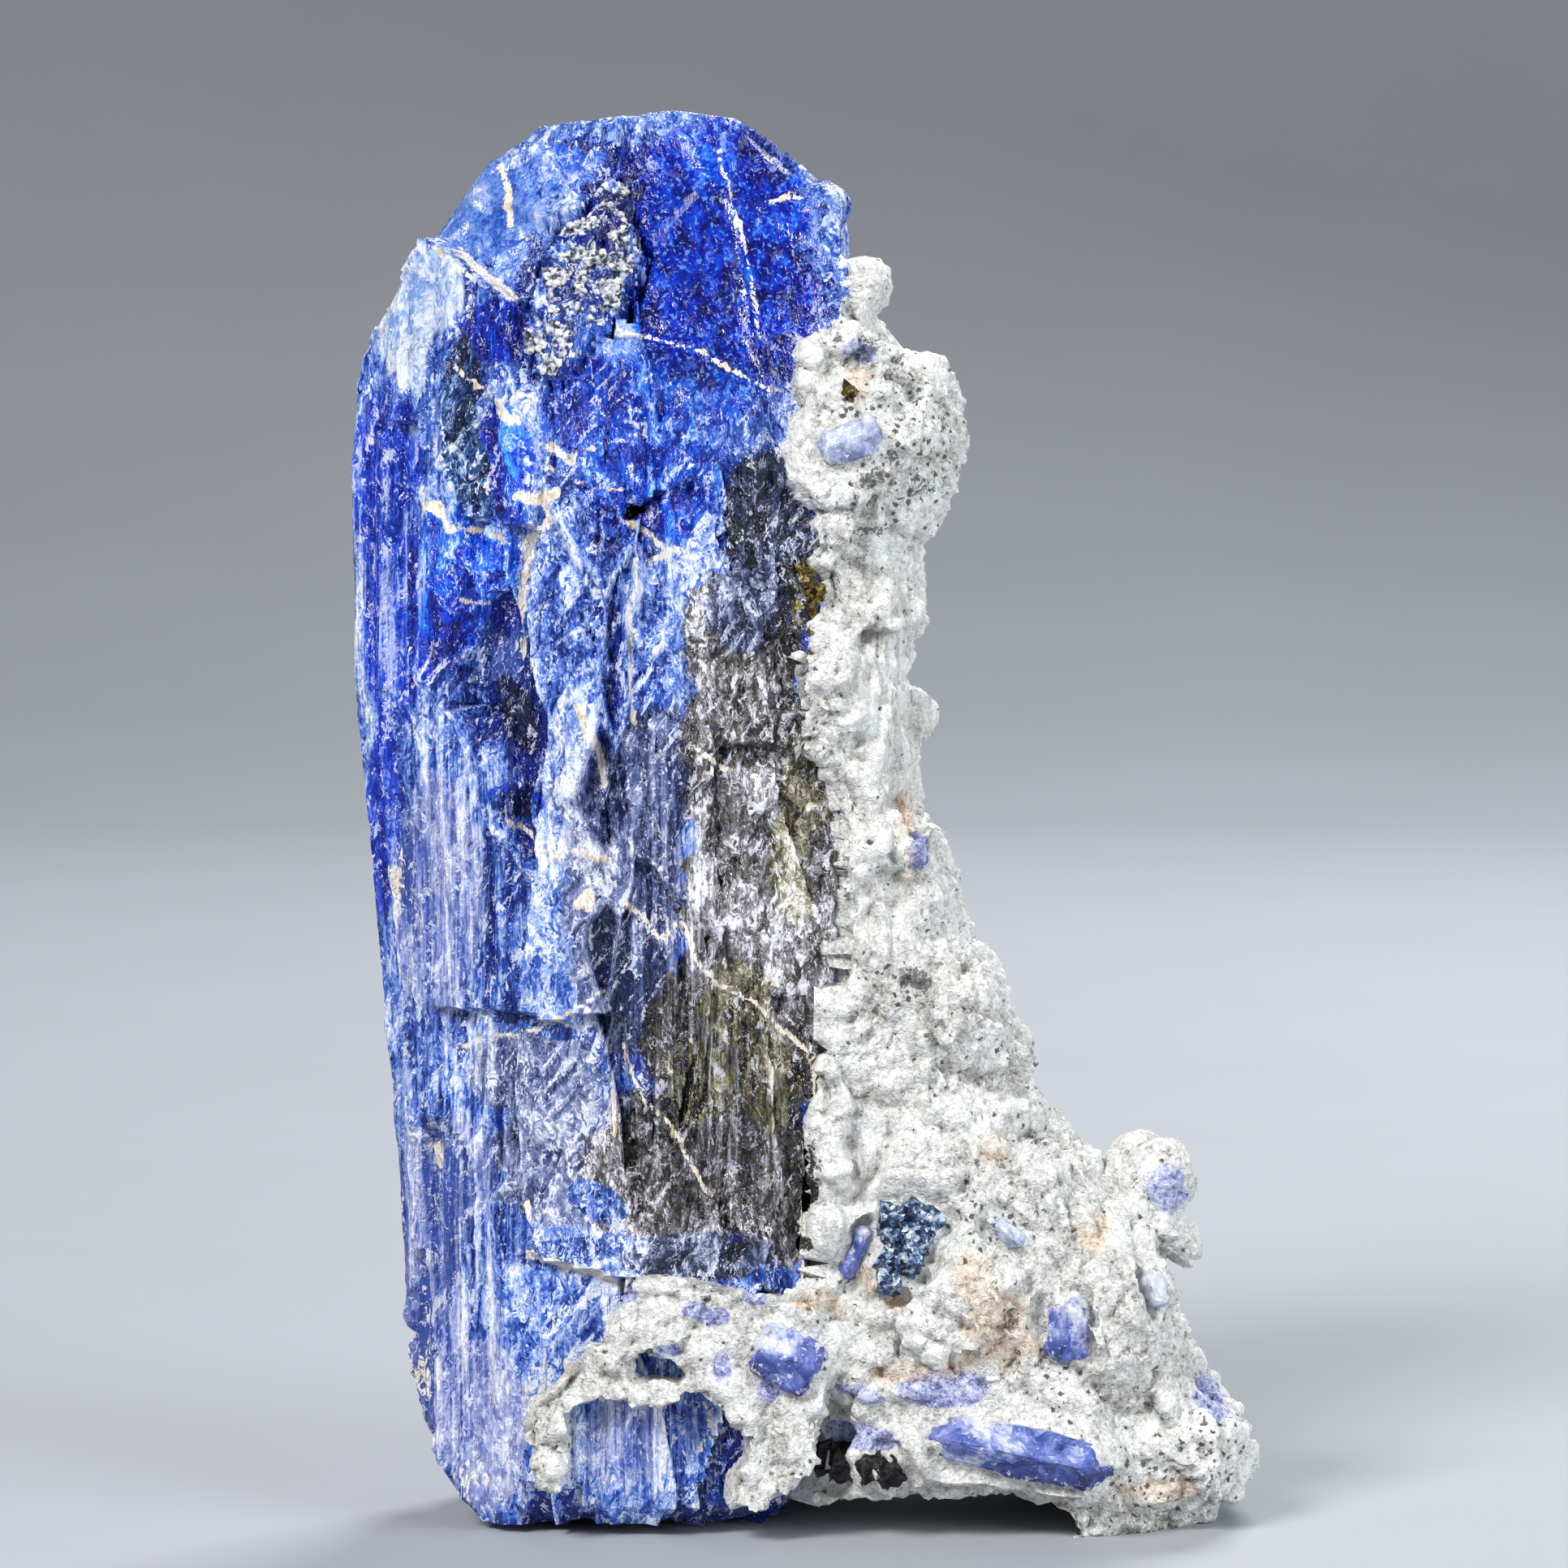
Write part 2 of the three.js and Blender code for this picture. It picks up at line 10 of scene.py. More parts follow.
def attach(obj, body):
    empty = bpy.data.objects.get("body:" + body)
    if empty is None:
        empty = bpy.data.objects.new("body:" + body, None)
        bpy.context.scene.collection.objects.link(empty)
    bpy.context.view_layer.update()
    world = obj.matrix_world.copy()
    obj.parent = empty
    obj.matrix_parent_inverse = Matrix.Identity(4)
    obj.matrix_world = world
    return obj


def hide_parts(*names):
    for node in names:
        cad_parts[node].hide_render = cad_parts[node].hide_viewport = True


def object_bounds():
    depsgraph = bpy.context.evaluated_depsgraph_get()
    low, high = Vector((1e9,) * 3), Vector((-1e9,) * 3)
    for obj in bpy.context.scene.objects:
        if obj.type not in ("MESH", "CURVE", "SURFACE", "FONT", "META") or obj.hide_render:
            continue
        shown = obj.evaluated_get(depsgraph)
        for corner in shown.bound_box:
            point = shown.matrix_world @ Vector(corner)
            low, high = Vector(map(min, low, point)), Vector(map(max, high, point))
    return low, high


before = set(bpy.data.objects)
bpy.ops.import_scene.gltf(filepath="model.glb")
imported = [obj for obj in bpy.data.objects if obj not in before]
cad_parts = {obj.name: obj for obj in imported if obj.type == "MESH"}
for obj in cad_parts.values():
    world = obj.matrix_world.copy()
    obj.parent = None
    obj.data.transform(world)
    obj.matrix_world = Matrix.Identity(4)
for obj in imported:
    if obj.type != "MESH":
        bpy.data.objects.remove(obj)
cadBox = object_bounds()
millimetre = 0.001  # meshes are shaped in millimetres and scaled at the end
farOff = 9.0  # mm, beyond the reach of any painted line

# Camera, lights and floor

camera = {
    "aim": (-0.65, 0.0, 20.9),  # mm, the middle of the picture
    "distance": 186.3,
    "lookDown": 4.0,  # degrees
    "lens": 150.0,
}

lights = {
    "key": {"place": (-170, -240, 250), "size": 110, "power": 1.4, "tint": (1.0, 0.98, 0.95)},
    "fill": {"place": (260, -190, 120), "size": 160, "power": 0.75, "tint": (0.94, 0.97, 1.0)},
    "rim": {"place": (90, 210, 220), "size": 120, "power": 0.75, "tint": (1.0, 1.0, 1.0)},
}

studio = {
    "sky": (0.86, 0.88, 0.92),
    "skyStrength": 0.24,
    "floor": (0.4, 0.42, 0.46),
    "cloudShade": 0.93,  # the floor's faint darker clouds
    "roughness": 0.75,
    "width": 1600,
    "depth": 260,  # flat floor behind the specimen
    "wall": 500,
    "sweep": 220.0,  # radius of the bend up to the wall
    "bend": 8,
}


def addCamera():
    data = bpy.data.cameras.new("camera")
    data.lens = camera["lens"]
    data.clip_start = 0.005
    data.clip_end = 20
    eye = bpy.data.objects.new("camera", data)
    tilt = math.radians(camera["lookDown"])
    away = Vector((0, -math.cos(tilt), math.sin(tilt))) * camera["distance"]
    eye.location = (Vector(camera["aim"]) + away) * millimetre
    eye.rotation_euler = (math.pi / 2 - tilt, 0, 0)
    bpy.context.scene.collection.objects.link(eye)
    bpy.context.scene.camera = eye


def addLights():
    aim = Vector(camera["aim"]) * millimetre
    for name, light in lights.items():
        data = bpy.data.lights.new(name, "AREA")
        data.size = light["size"] * millimetre
        data.energy = light["power"]
        data.color = light["tint"]
        lamp = bpy.data.objects.new(name, data)
        lamp.location = Vector(light["place"]) * millimetre
        lamp.rotation_euler = (aim - lamp.location).to_track_quat("-Z", "Y").to_euler()
        bpy.context.scene.collection.objects.link(lamp)


def addStudio():
    world = bpy.data.worlds.new("studio")
    world.use_nodes = True
    world.node_tree.nodes["Background"].inputs["Color"].default_value = (*studio["sky"], 1)
    world.node_tree.nodes["Background"].inputs["Strength"].default_value = studio["skyStrength"]
    bpy.context.scene.world = world
    bpy.context.scene.view_settings.view_transform = "Standard"
    bm = bmesh.new()
    halfWidth = studio["width"] / 2
    corners = [bm.verts.new((side * halfWidth, -halfWidth, 0)) for side in (-1, 1)]
    edge = [bm.edges.new(corners)]
    bend, arc = studio["bend"], studio["sweep"]
    steps = [Vector((0, halfWidth + studio["depth"], 0))]
    for i in range(bend):
        low, high = (math.pi / 2 * share / bend for share in (i, i + 1))
        away, up = math.sin(high) - math.sin(low), math.cos(low) - math.cos(high)
        steps.append(Vector((0, arc * away, arc * up)))
    steps.append(Vector((0, 0, studio["wall"])))
    for step in steps:
        grown = bmesh.ops.extrude_edge_only(bm, edges=edge)["geom"]
        bmesh.ops.translate(bm, verts=[g for g in grown if isinstance(g, bmesh.types.BMVert)], vec=step)
        edge = [g for g in grown if isinstance(g, bmesh.types.BMEdge) and all(v in grown for v in g.verts)]
    bm.transform(Matrix.Scale(millimetre, 4))
    mesh = bpy.data.meshes.new("floor")
    bm.to_mesh(mesh)
    bm.free()
    for face in mesh.polygons:
        face.use_smooth = True
    floor = bpy.data.objects.new("floor", mesh)
    bpy.context.scene.collection.objects.link(floor)
    tree, shader = newMaterial("floor", floor)
    cloud = noiseField(tree, millimetres(tree), (0.05, 0.05, 0.05), detail=3)
    shade = [part * studio["cloudShade"] for part in studio["floor"]]
    link(tree, mixColours(tree, cloud, studio["floor"], shade), shader, "Base Color")
    shader.inputs["Roughness"].default_value = studio["roughness"]


# Shader helpers

def light(red, green, blue):  # the light of a colour given as 0 to 255
    return tuple((part / 255) ** 2.2 for part in (red, green, blue))


def newMaterial(name, *pieces):
    material = bpy.data.materials.new(name)
    material.use_nodes = True
    for piece in pieces:
        piece.data.materials.append(material)
    return material.node_tree, material.node_tree.nodes["Principled BSDF"]


def feed(tree, node, inputs):
    for key, value in inputs.items():
        if isinstance(value, bpy.types.NodeSocket):
            tree.links.new(value, node.inputs[key])
        else:
            node.inputs[key].default_value = value


def put(tree, kind, inputs, **settings):
    node = tree.nodes.new("ShaderNode" + kind)
    for key, value in settings.items():
        setattr(node, key, value)
    feed(tree, node, inputs)
    return node


def link(tree, socket, shader, name):
    tree.links.new(socket, shader.inputs[name])


def stretched(tree, place, scales):
    return put(tree, "VectorMath", {0: place, 1: scales}, operation="MULTIPLY").outputs[0]


def millimetres(tree):
    place = tree.nodes.new("ShaderNodeTexCoord").outputs["Object"]
    return stretched(tree, place, (1 / millimetre, 1 / millimetre, 1 / millimetre))


def noiseField(tree, place, scales, detail=4.0, rough=0.55, distort=0.0):
    inputs = {"Vector": stretched(tree, place, scales), "Scale": 1.0, "Detail": detail, "Roughness": rough,
              "Distortion": distort}
    return put(tree, "TexNoise", inputs).outputs["Fac"]


def cellField(tree, place, scales, output="Color"):
    return put(tree, "TexVoronoi", {"Vector": stretched(tree, place, scales), "Scale": 1.0}).outputs[output]


def calc(tree, operation, a, b=0.0, c=0.0, clamp=False):
    return put(tree, "Math", {0: a, 1: b, 2: c}, operation=operation, use_clamp=clamp).outputs[0]


def times(tree, a, b):
    return calc(tree, "MULTIPLY", a, b)


def plus(tree, a, b):
    return calc(tree, "ADD", a, b)


def minus(tree, a, b):
    return calc(tree, "SUBTRACT", a, b)


def swing(tree, field, gain):  # a noise moved to lie about zero, and scaled
    return times(tree, minus(tree, field, 0.5), gain)


def grey(tree, colour):
    return times(tree, colour, 1.0)


def rangeOf(tree, value, low, high, start=0.0, end=1.0, kind="SMOOTHSTEP"):
    inputs = {"Value": value, "From Min": low, "From Max": high, "To Min": start, "To Max": end}
    return put(tree, "MapRange", inputs, interpolation_type=kind).outputs["Result"]


def mixed(tree, share, first, second, kind):
    node = put(tree, "Mix", {}, data_type=kind)
    sockets = [s for s in node.inputs if s.type == ("RGBA" if kind == "RGBA" else "VALUE") and s.name in "AB"]
    feed(tree, node, {0: share})
    for socket, value in zip(sockets, (first, second)):
        if isinstance(value, bpy.types.NodeSocket):
            tree.links.new(value, socket)
        else:
            socket.default_value = (*value[:3], 1) if kind == "RGBA" else value
    return [s for s in node.outputs if s.type == ("RGBA" if kind == "RGBA" else "VALUE")][0]


def mixColours(tree, share, first, second):
    return mixed(tree, share, first, second, "RGBA")


def mixValues(tree, share, first, second):
    return mixed(tree, share, first, second, "FLOAT")


def weighted(tree, *pairs):
    total = None
    for value, weight in pairs:
        part = times(tree, value, weight)
        total = part if total is None else plus(tree, total, part)
    return total


def ramp(tree, value, stops):
    node = put(tree, "ValToRGB", {"Fac": value})
    elements = node.color_ramp.elements
    while len(elements) < len(stops):
        elements.new(0.5)
    for element, (place, colour) in zip(elements, stops):
        element.position = place
        element.color = (*light(*colour), 1)
    return node.outputs["Color"]


def mark(tree, name):
    return put(tree, "Attribute", {}, attribute_name=name).outputs["Fac"]


def hairlines(tree, field, width):  # thin lines where a field crosses its middle
    return rangeOf(tree, calc(tree, "ABSOLUTE", minus(tree, field, 0.5)), 0, width, 1, 0)


def bumped(tree, shader, height, distance, normal=None):
    inputs = {"Height": height, "Distance": distance * millimetre, "Strength": 1.0}
    if normal:
        inputs["Normal"] = normal
    link(tree, put(tree, "Bump", inputs).outputs["Normal"], shader, "Normal")


# Normals that differ from cell to cell, as on a broken surface
def cellNormals(tree, cells, strength):
    tilt = put(tree, "VectorMath", {0: cells, 1: (0.5, 0.5, 0.5)}, operation="SUBTRACT").outputs[0]
    scaled = put(tree, "VectorMath", {0: tilt, "Scale": strength}, operation="SCALE").outputs[0]
    surface = tree.nodes.new("ShaderNodeNewGeometry").outputs["Normal"]
    added = put(tree, "VectorMath", {0: surface, 1: scaled}, operation="ADD").outputs[0]
    return put(tree, "VectorMath", {0: added}, operation="NORMALIZE").outputs[0]


# Mesh helpers

def smoothStep(low, high, value):
    share = min(max((value - low) / (high - low), 0.0), 1.0)
    return share * share * (3 - 2 * share)


def softShare(low, high, values):  # smoothStep for a whole array
    share = np.clip((values - low) / (high - low), 0, 1)
    return share * share * (3 - 2 * share)


def seenFromFront(places):  # where the camera sees each point, on the plane through its aim
    tilt = math.radians(camera["lookDown"])
    offset = places - np.array(camera["aim"])
    away = offset[:, 1] * math.cos(tilt) - offset[:, 2] * math.sin(tilt)
    up = offset[:, 1] * math.sin(tilt) + offset[:, 2] * math.cos(tilt)
    growth = camera["distance"] / (camera["distance"] + away)
    return np.stack((camera["aim"][0] + offset[:, 0] * growth, camera["aim"][2] + up * growth), axis=1)


def ovalField(seen, ovals):  # the strongest of some soft ovals, for a whole mesh
    field = np.zeros(len(seen))
    for across, up, reachAcross, reachUp, *lean in ovals:
        turn = math.radians(sum(lean))
        right, high = seen[:, 0] - across, seen[:, 1] - up
        along = high * math.cos(turn) + right * math.sin(turn)
        aside = right * math.cos(turn) - high * math.sin(turn)
        away = np.hypot(aside / reachAcross, along / reachUp)
        field = np.maximum(field, 1 - softShare(0.4, 1.5, away))
    return field


def lineGap(seen, path, width):  # distance from the edge of a painted line
    gap = np.full(len(seen), farOff)
    for start, end in zip(path, path[1:]):
        start, along = np.array(start), np.array(end) - np.array(start)
        share = np.clip(((seen - start) @ along) / (along @ along), 0, 1)
        gap = np.minimum(gap, np.linalg.norm(seen - start - share[:, None] * along, axis=1) - width)
    return gap


def facetRelief(place, scale, stretch):  # tilted flakes, each turned its own way
    x, y, z = place
    point = Vector((x * scale, y * scale, z * scale * stretch))
    distances, points = noise.voronoi(point, distance_metric="DISTANCE", exponent=2.5)
    tilt = noise.cell_vector(points[0] * 31.7) - Vector((0.5, 0.5, 0.5))
    return (point - points[0]).dot(tilt), distances[1] - distances[0], noise.cell(points[0] * 17.3)


def mergedCopy(nodeName):
    bm = bmesh.new()
    bm.from_mesh(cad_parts[nodeName].data)
    bm.transform(Matrix.Scale(1 / millimetre, 4))
    bmesh.ops.remove_doubles(bm, verts=bm.verts, dist=1e-4)
    return bm


def treeOf(*nodes, swollen=(), swell=0.0):
    together = bmesh.new()
    for node in swollen:
        together.from_mesh(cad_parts[node].data)
    together.transform(Matrix.Scale(1 / millimetre, 4))
    bmesh.ops.remove_doubles(together, verts=together.verts, dist=1e-4)
    together.normal_update()
    for vertex in together.verts:
        vertex.co += vertex.normal * swell
    together.transform(Matrix.Scale(millimetre, 4))
    for node in nodes:
        together.from_mesh(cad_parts[node].data)
    together.transform(Matrix.Scale(1 / millimetre, 4))
    tree = BVHTree.FromBMesh(together)
    together.free()
    return tree


def finishPiece(name, bm, nodes=(), sharpAngle=38):
    bm.transform(Matrix.Scale(millimetre, 4))
    mesh = bpy.data.meshes.new(name)
    bm.to_mesh(mesh)
    bm.free()
    for face in mesh.polygons:
        face.use_smooth = True
    mesh.set_sharp_from_angle(angle=math.radians(sharpAngle))
    piece = bpy.data.objects.new(name, mesh)
    bpy.context.scene.collection.objects.link(piece)
    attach(piece, "root")
    if nodes:
        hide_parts(*nodes)
    print(name, len(mesh.polygons), "faces")
    return piece


def setMark(piece, name, values):
    layer = piece.data.attributes.new(name, "FLOAT", "POINT")
    layer.data.foreach_set("value", np.asarray(values, dtype=np.float32))


def placesOf(piece):
    flat = np.zeros(len(piece.data.vertices) * 3, np.float32)
    piece.data.vertices.foreach_get("co", flat)
    return flat.reshape(-1, 3).astype(float) / millimetre


def remeshed(bm, voxel, name):
    mesh = bpy.data.meshes.new(name + "Rough")
    bm.to_mesh(mesh)
    bm.free()
    rough = bpy.data.objects.new(name + "Rough", mesh)
    bpy.context.scene.collection.objects.link(rough)
    modifier = rough.modifiers.new("voxels", "REMESH")
    modifier.mode = "VOXEL"
    modifier.voxel_size = voxel
    result = rough.evaluated_get(bpy.context.evaluated_depsgraph_get()).to_mesh()
    fine = bmesh.new()
    fine.from_mesh(result)
    bpy.data.objects.remove(rough)
    bpy.data.meshes.remove(mesh)
    fine.normal_update()
    return fine


# The main crystal

tanzanite = {
    "around": 420,
    "topRings": 58,
    "bodyRings": 166,
    "footRings": 11,
    "frontCrowding": 0.32,
    "axis": -5.6,  # mm, across
    "highPivot": 33.0,
    "lowPivot": 1.6,
    "outside": 30.0,  # where the rays start
    "plateDepth": 0.3,
    "ridgeDepth": 0.17,
    "fineDepth": 0.06,
    "flakeDepth": 0.5,
    "chipDepth": 0.34,
    "crinkleDepth": 0.06,
    "pitDepth": 0.5,
    "rimShare": 0.35,  # relief left at the outline, so that the specimen keeps its size
    "rimReach": 1.2,
    "highest": 0.3,  # mm, the relief's limit
    "swell": 0.36,  # the crust and the seam swollen to close the gap around them
    "pocketDepth": 0.06,  # how far the crystal lies under their faces
    "footReach": 1.0,  # height of the rounded foot
    "footDepth": 0.4,
    "ior": 1.69,
}

# Soft ovals as the camera sees them: across, up, reach across, reach up (mm), and the lean in
# degrees of those that lean
crystalZones = {
    "deep": [(-2.4, 36.4, 2.6, 3.6), (-4.2, 37.9, 2.2, 1.6), (-0.7, 34.4, 1.3, 2.2),
             (-3.4, 34.6, 1.6, 1.6), (-8.6, 30.0, 0.8, 1.9, -10), (-9.0, 33.8, 1.1, 1.0, 30),
             (-8.5, 22.8, 0.6, 1.3, -25), (-8.3, 20.4, 0.9, 0.5, 10), (-0.9, 6.6, 0.6, 0.5, 45),
             (-4.0, 28.6, 0.9, 0.6, 20), (-10.3, 25.4, 0.7, 1.6), (-9.3, 27.2, 0.8, 0.8)],
    "bright": [(-3.2, 32.4, 2.2, 1.4), (-5.6, 31.6, 2.0, 1.6), (-4.4, 29.6, 2.2, 1.8),
               (-9.8, 27.0, 1.6, 2.2)],
    # the thin navy ovals along the ledges at 14.0 and 7.6 up are painted shade under the ledges
    "navy": [(-7.7, 14.0, 1.4, 0.25, 15), (-6.6, 7.6, 1.8, 0.4, -8), (-0.9, 6.7, 0.6, 0.5, 30),
             (-8.6, 22.9, 0.5, 1.2, -25), (-8.4, 20.3, 0.8, 0.4, 10), (-6.0, 9.0, 0.9, 0.5, 30)],
    # the wide dusk oval along the slab's lower edge at 7.4 up is painted shade under that edge
    "dusk": [(-3.0, 7.4, 2.4, 0.7), (-1.0, 28.5, 1.3, 1.9), (-1.7, 25.8, 1.2, 1.2),
             (-0.2, 27.4, 0.7, 1.8)],
    "smoky": [(-1.6, 25.0, 1.9, 2.2), (-1.4, 21.5, 2.3, 3.0), (-1.0, 17.5, 2.5, 3.4),
              (-1.8, 13.6, 2.9, 3.2), (-3.0, 10.0, 3.6, 2.4, -8), (-0.6, 9.5, 1.6, 2.4)],
    "olive": [(0.2, 26.4, 0.5, 0.9), (0.2, 21.0, 0.8, 1.4), (-1.9, 14.6, 1.0, 1.2),
              (-0.9, 12.4, 0.9, 1.4), (-3.0, 12.4, 1.0, 1.2), (-0.4, 18.6, 0.7, 1.6)],
    "slate": [(-5.2, 17.5, 1.8, 4.6), (-7.6, 12.6, 2.0, 1.4), (-6.4, 10.2, 2.8, 2.0),
              (-4.2, 21.2, 1.4, 2.0)],
    "violet": [(-12.1, 29.3, 0.9, 3.0), (-11.8, 25.5, 0.9, 3.2), (-10.9, 25.2, 0.5, 1.6),
               (-9.5, 29.4, 0.4, 0.9), (-12.2, 20.0, 0.4, 3.0)],
    "pale": [(-9.2, 37.4, 1.7, 1.6, 25), (-5.8, 32.9, 1.0, 1.3), (-4.6, 36.6, 0.4, 1.6, 10),
             (-6.6, 38.6, 1.4, 0.8)],
    # lilac: the crystal's own lilac, and in part painted sheen where light catches the striations
    "lilac": [(-10.4, 9.6, 1.5, 1.8), (-11.0, 5.2, 1.1, 4.2), (-9.2, 2.6, 1.2, 2.6),
              (-5.2, 2.2, 1.2, 1.4), (-10.6, 17.6, 1.3, 3.6), (-5.6, 20.9, 0.8, 1.0),
              (-8.9, 24.6, 0.5, 1.4), (-4.3, 19.4, 0.8, 2.2)],
    "pepper": [(-10.0, 31.8, 0.6, 2.0), (-9.7, 30.0, 0.6, 1.7, -12)],
    "frost": [(-10.9, 35.0, 0.9, 1.4, 15), (-11.6, 33.9, 0.7, 1.3, 10), (-11.4, 32.7, 0.35, 0.8)],
    "chalk": [(-11.3, 4.6, 0.25, 2.6), (-9.4, 1.1, 1.0, 0.7), (-11.7, 18.2, 0.2, 1.5),
              (-10.0, 0.5, 0.5, 0.5), (-6.5, 0.5, 1.4, 0.25)],
    "streaky": [(-11.8, 27.0, 1.4, 5.0), (-10.4, 18.0, 2.0, 5.0), (-10.2, 8.5, 1.9, 6.5),
                (-9.6, 33.8, 0.9, 1.4), (-3.9, 17.5, 1.3, 4.6), (-2.6, 12.0, 2.2, 3.0),
                (-5.9, 32.8, 0.9, 1.2), (-4.6, 2.6, 2.0, 2.0)],
    "calm": [(-2.6, 36.2, 3.0, 3.2), (-3.2, 32.8, 2.4, 1.2), (-9.2, 37.4, 1.8, 1.8, 25)],
    # pit: recesses, sunk in the relief and painted near black as shade
    "pit": [(-4.84, 28.66, 0.36, 0.16, -20), (0.3, 9.9, 0.2, 1.7, 3), (0.25, 7.75, 0.24, 0.36)],
}
flakeZones = [(-5.6, 27.4, 3.4, 4.4), (-5.8, 21.0, 2.6, 2.8), (-1.6, 20.0, 2.8, 6.0),
              (-9.8, 26.5, 1.6, 3.0), (-2.0, 11.5, 2.4, 4.0)]

# Painted lines on the front: points (across, up) and half width
crystalVeins = {
    "crown": ([(-2.5, 39.1), (-2.5, 38.5), (-2.1, 37.5), (-1.6, 35.6), (-1.3, 33.7)], 0.03),
    "brow": ([(-5.6, 33.7), (-4.5, 33.7), (-3.1, 33.3), (-2.1, 32.7), (-0.8, 32.1)], 0.03),
    "capHook": ([(-1.5, 37.2), (-1.0, 37.6), (-0.2, 37.7), (0.1, 37.2)], 0.03),
    "shoulder": ([(-10.0, 36.2), (-9.5, 35.7), (-8.8, 35.1), (-8.5, 34.8)], 0.1),
    "collar": ([(-10.9, 36.3), (-10.4, 36.0), (-9.7, 35.4)], 0.03),
    "ridge": ([(-8.7, 38.5), (-8.5, 37.7), (-8.5, 36.9)], 0.05),
    "slant": ([(-10.3, 32.9), (-9.4, 32.1), (-8.4, 31.7), (-8.2, 31.1)], 0.03),
    "slantEnd": ([(-8.6, 31.5), (-8.4, 31.2)], 0.12),
    "kite": ([(-10.7, 28.8), (-10.4, 28.4), (-10.2, 28.2)], 0.13),
    "kiteTail": ([(-10.4, 28.3), (-9.1, 28.1), (-8.5, 27.8)], 0.03),
    "wedge": ([(-7.4, 30.5), (-6.8, 30.1)], 0.12),
    "star": ([(-8.2, 29.1), (-7.7, 29.0), (-7.2, 29.2)], 0.12),
    "starLeg": ([(-7.5, 29.1), (-7.4, 28.4), (-8.0, 27.8)], 0.1),
    "trunk": ([(-8.0, 27.8), (-8.0, 27.0), (-8.1, 26.1), (-8.3, 25.2)], 0.09),
    "trunkLow": ([(-8.3, 25.2), (-8.4, 24.5)], 0.05),
    "dash": ([(-10.1, 26.2), (-9.6, 26.1), (-9.1, 26.1)], 0.04),
    "branch": ([(-5.2, 28.4), (-4.5, 28.1), (-4.0, 27.6), (-3.1, 27.7)], 0.06),
    "branchLeg": ([(-4.4, 27.2), (-3.8, 27.6), (-3.1, 27.3)], 0.06),
    "rayHigh": ([(-6.8, 30.3), (-5.6, 30.6), (-4.7, 30.9)], 0.03),
    "rayLow": ([(-7.5, 29.9), (-6.3, 29.4), (-5.2, 29.3)], 0.03),
    "thread": ([(-5.1, 26.0), (-5.0, 24.7), (-5.0, 23.6), (-4.9, 22.6)], 0.03),
    "ochre": ([(-6.5, 23.1), (-6.3, 22.6), (-6.0, 21.9), (-5.8, 20.8)], 0.09),
    "elbow": ([(-8.6, 19.8), (-8.0, 19.3), (-7.2, 18.8)], 0.05),
    "elbowEnd": ([(-7.2, 18.8), (-6.5, 19.0), (-5.6, 18.7)], 0.06),
    "chevron": ([(-6.5, 17.5), (-6.2, 17.8), (-6.2, 17.4)], 0.12),
    "vee": ([(-5.2, 17.5), (-4.6, 17.1), (-4.1, 16.4), (-3.5, 17.0)], 0.04),
    "flank": ([(-3.4, 16.9), (-3.1, 15.9), (-2.5, 15.2), (-1.4, 14.7)], 0.04),
    "flankLow": ([(-1.4, 14.7), (-0.7, 14.0), (0.2, 13.3)], 0.03),
    "short": ([(-3.3, 22.0), (-2.8, 21.7), (-2.2, 21.3)], 0.04),
    "rim": ([(0.3, 13.2), (0.5, 12.0), (0.1, 10.6), (0.2, 9.2)], 0.05),
    "rimLow": ([(0.2, 9.2), (-0.1, 7.8), (0.1, 6.9), (-0.2, 6.2)], 0.06),
    "stepLine": ([(-9.9, 13.4), (-8.9, 13.7), (-7.7, 13.9), (-6.7, 14.4), (-5.8, 15.0)], 0.04),
    "crackLow": ([(-5.2, 13.5), (-5.0, 12.7), (-4.6, 11.9), (-3.8, 11.1), (-3.5, 10.4), (-2.7, 9.2)], 0.02),
    "pin": ([(-5.5, 12.7), (-5.5, 10.9)], 0.03),
    "sill": ([(-8.1, 7.5), (-7.0, 7.2), (-5.9, 6.9), (-4.7, 6.3)], 0.06),
    "crumb": ([(-10.9, 10.6), (-10.8, 10.0)], 0.08),
    "crumbLow": ([(-8.0, 8.9), (-8.0, 8.4)], 0.08),
    "gash": ([(-2.8, 3.2), (-2.6, 2.6), (-3.0, 1.8)], 0.03),
}


def crystalRay(theta, phi):
    rings = tanzanite["topRings"] + tanzanite["bodyRings"] + tanzanite["footRings"]
    ring = theta / math.pi * rings
    bodyShare = (ring - tanzanite["topRings"]) / tanzanite["bodyRings"]
    if bodyShare <= 0:
        height, rise = tanzanite["highPivot"], math.pi / 2 * (1 - ring / tanzanite["topRings"])
    elif bodyShare <= 1:
        drop = tanzanite["lowPivot"] - tanzanite["highPivot"]
        height, rise = tanzanite["highPivot"] + drop * bodyShare, 0.0
    else:
        past = ring - tanzanite["topRings"] - tanzanite["bodyRings"]
        height, rise = tanzanite["lowPivot"], -math.pi / 2 * past / tanzanite["footRings"]
    fromFront = math.remainder(phi + math.pi / 2, 2 * math.pi)
    turn = fromFront - tanzanite["frontCrowding"] * math.sin(fromFront) - math.pi / 2
    direction = Vector((math.cos(rise) * math.cos(turn), math.cos(rise) * math.sin(turn), math.sin(rise)))
    return Vector((tanzanite["axis"], 0, height)), direction


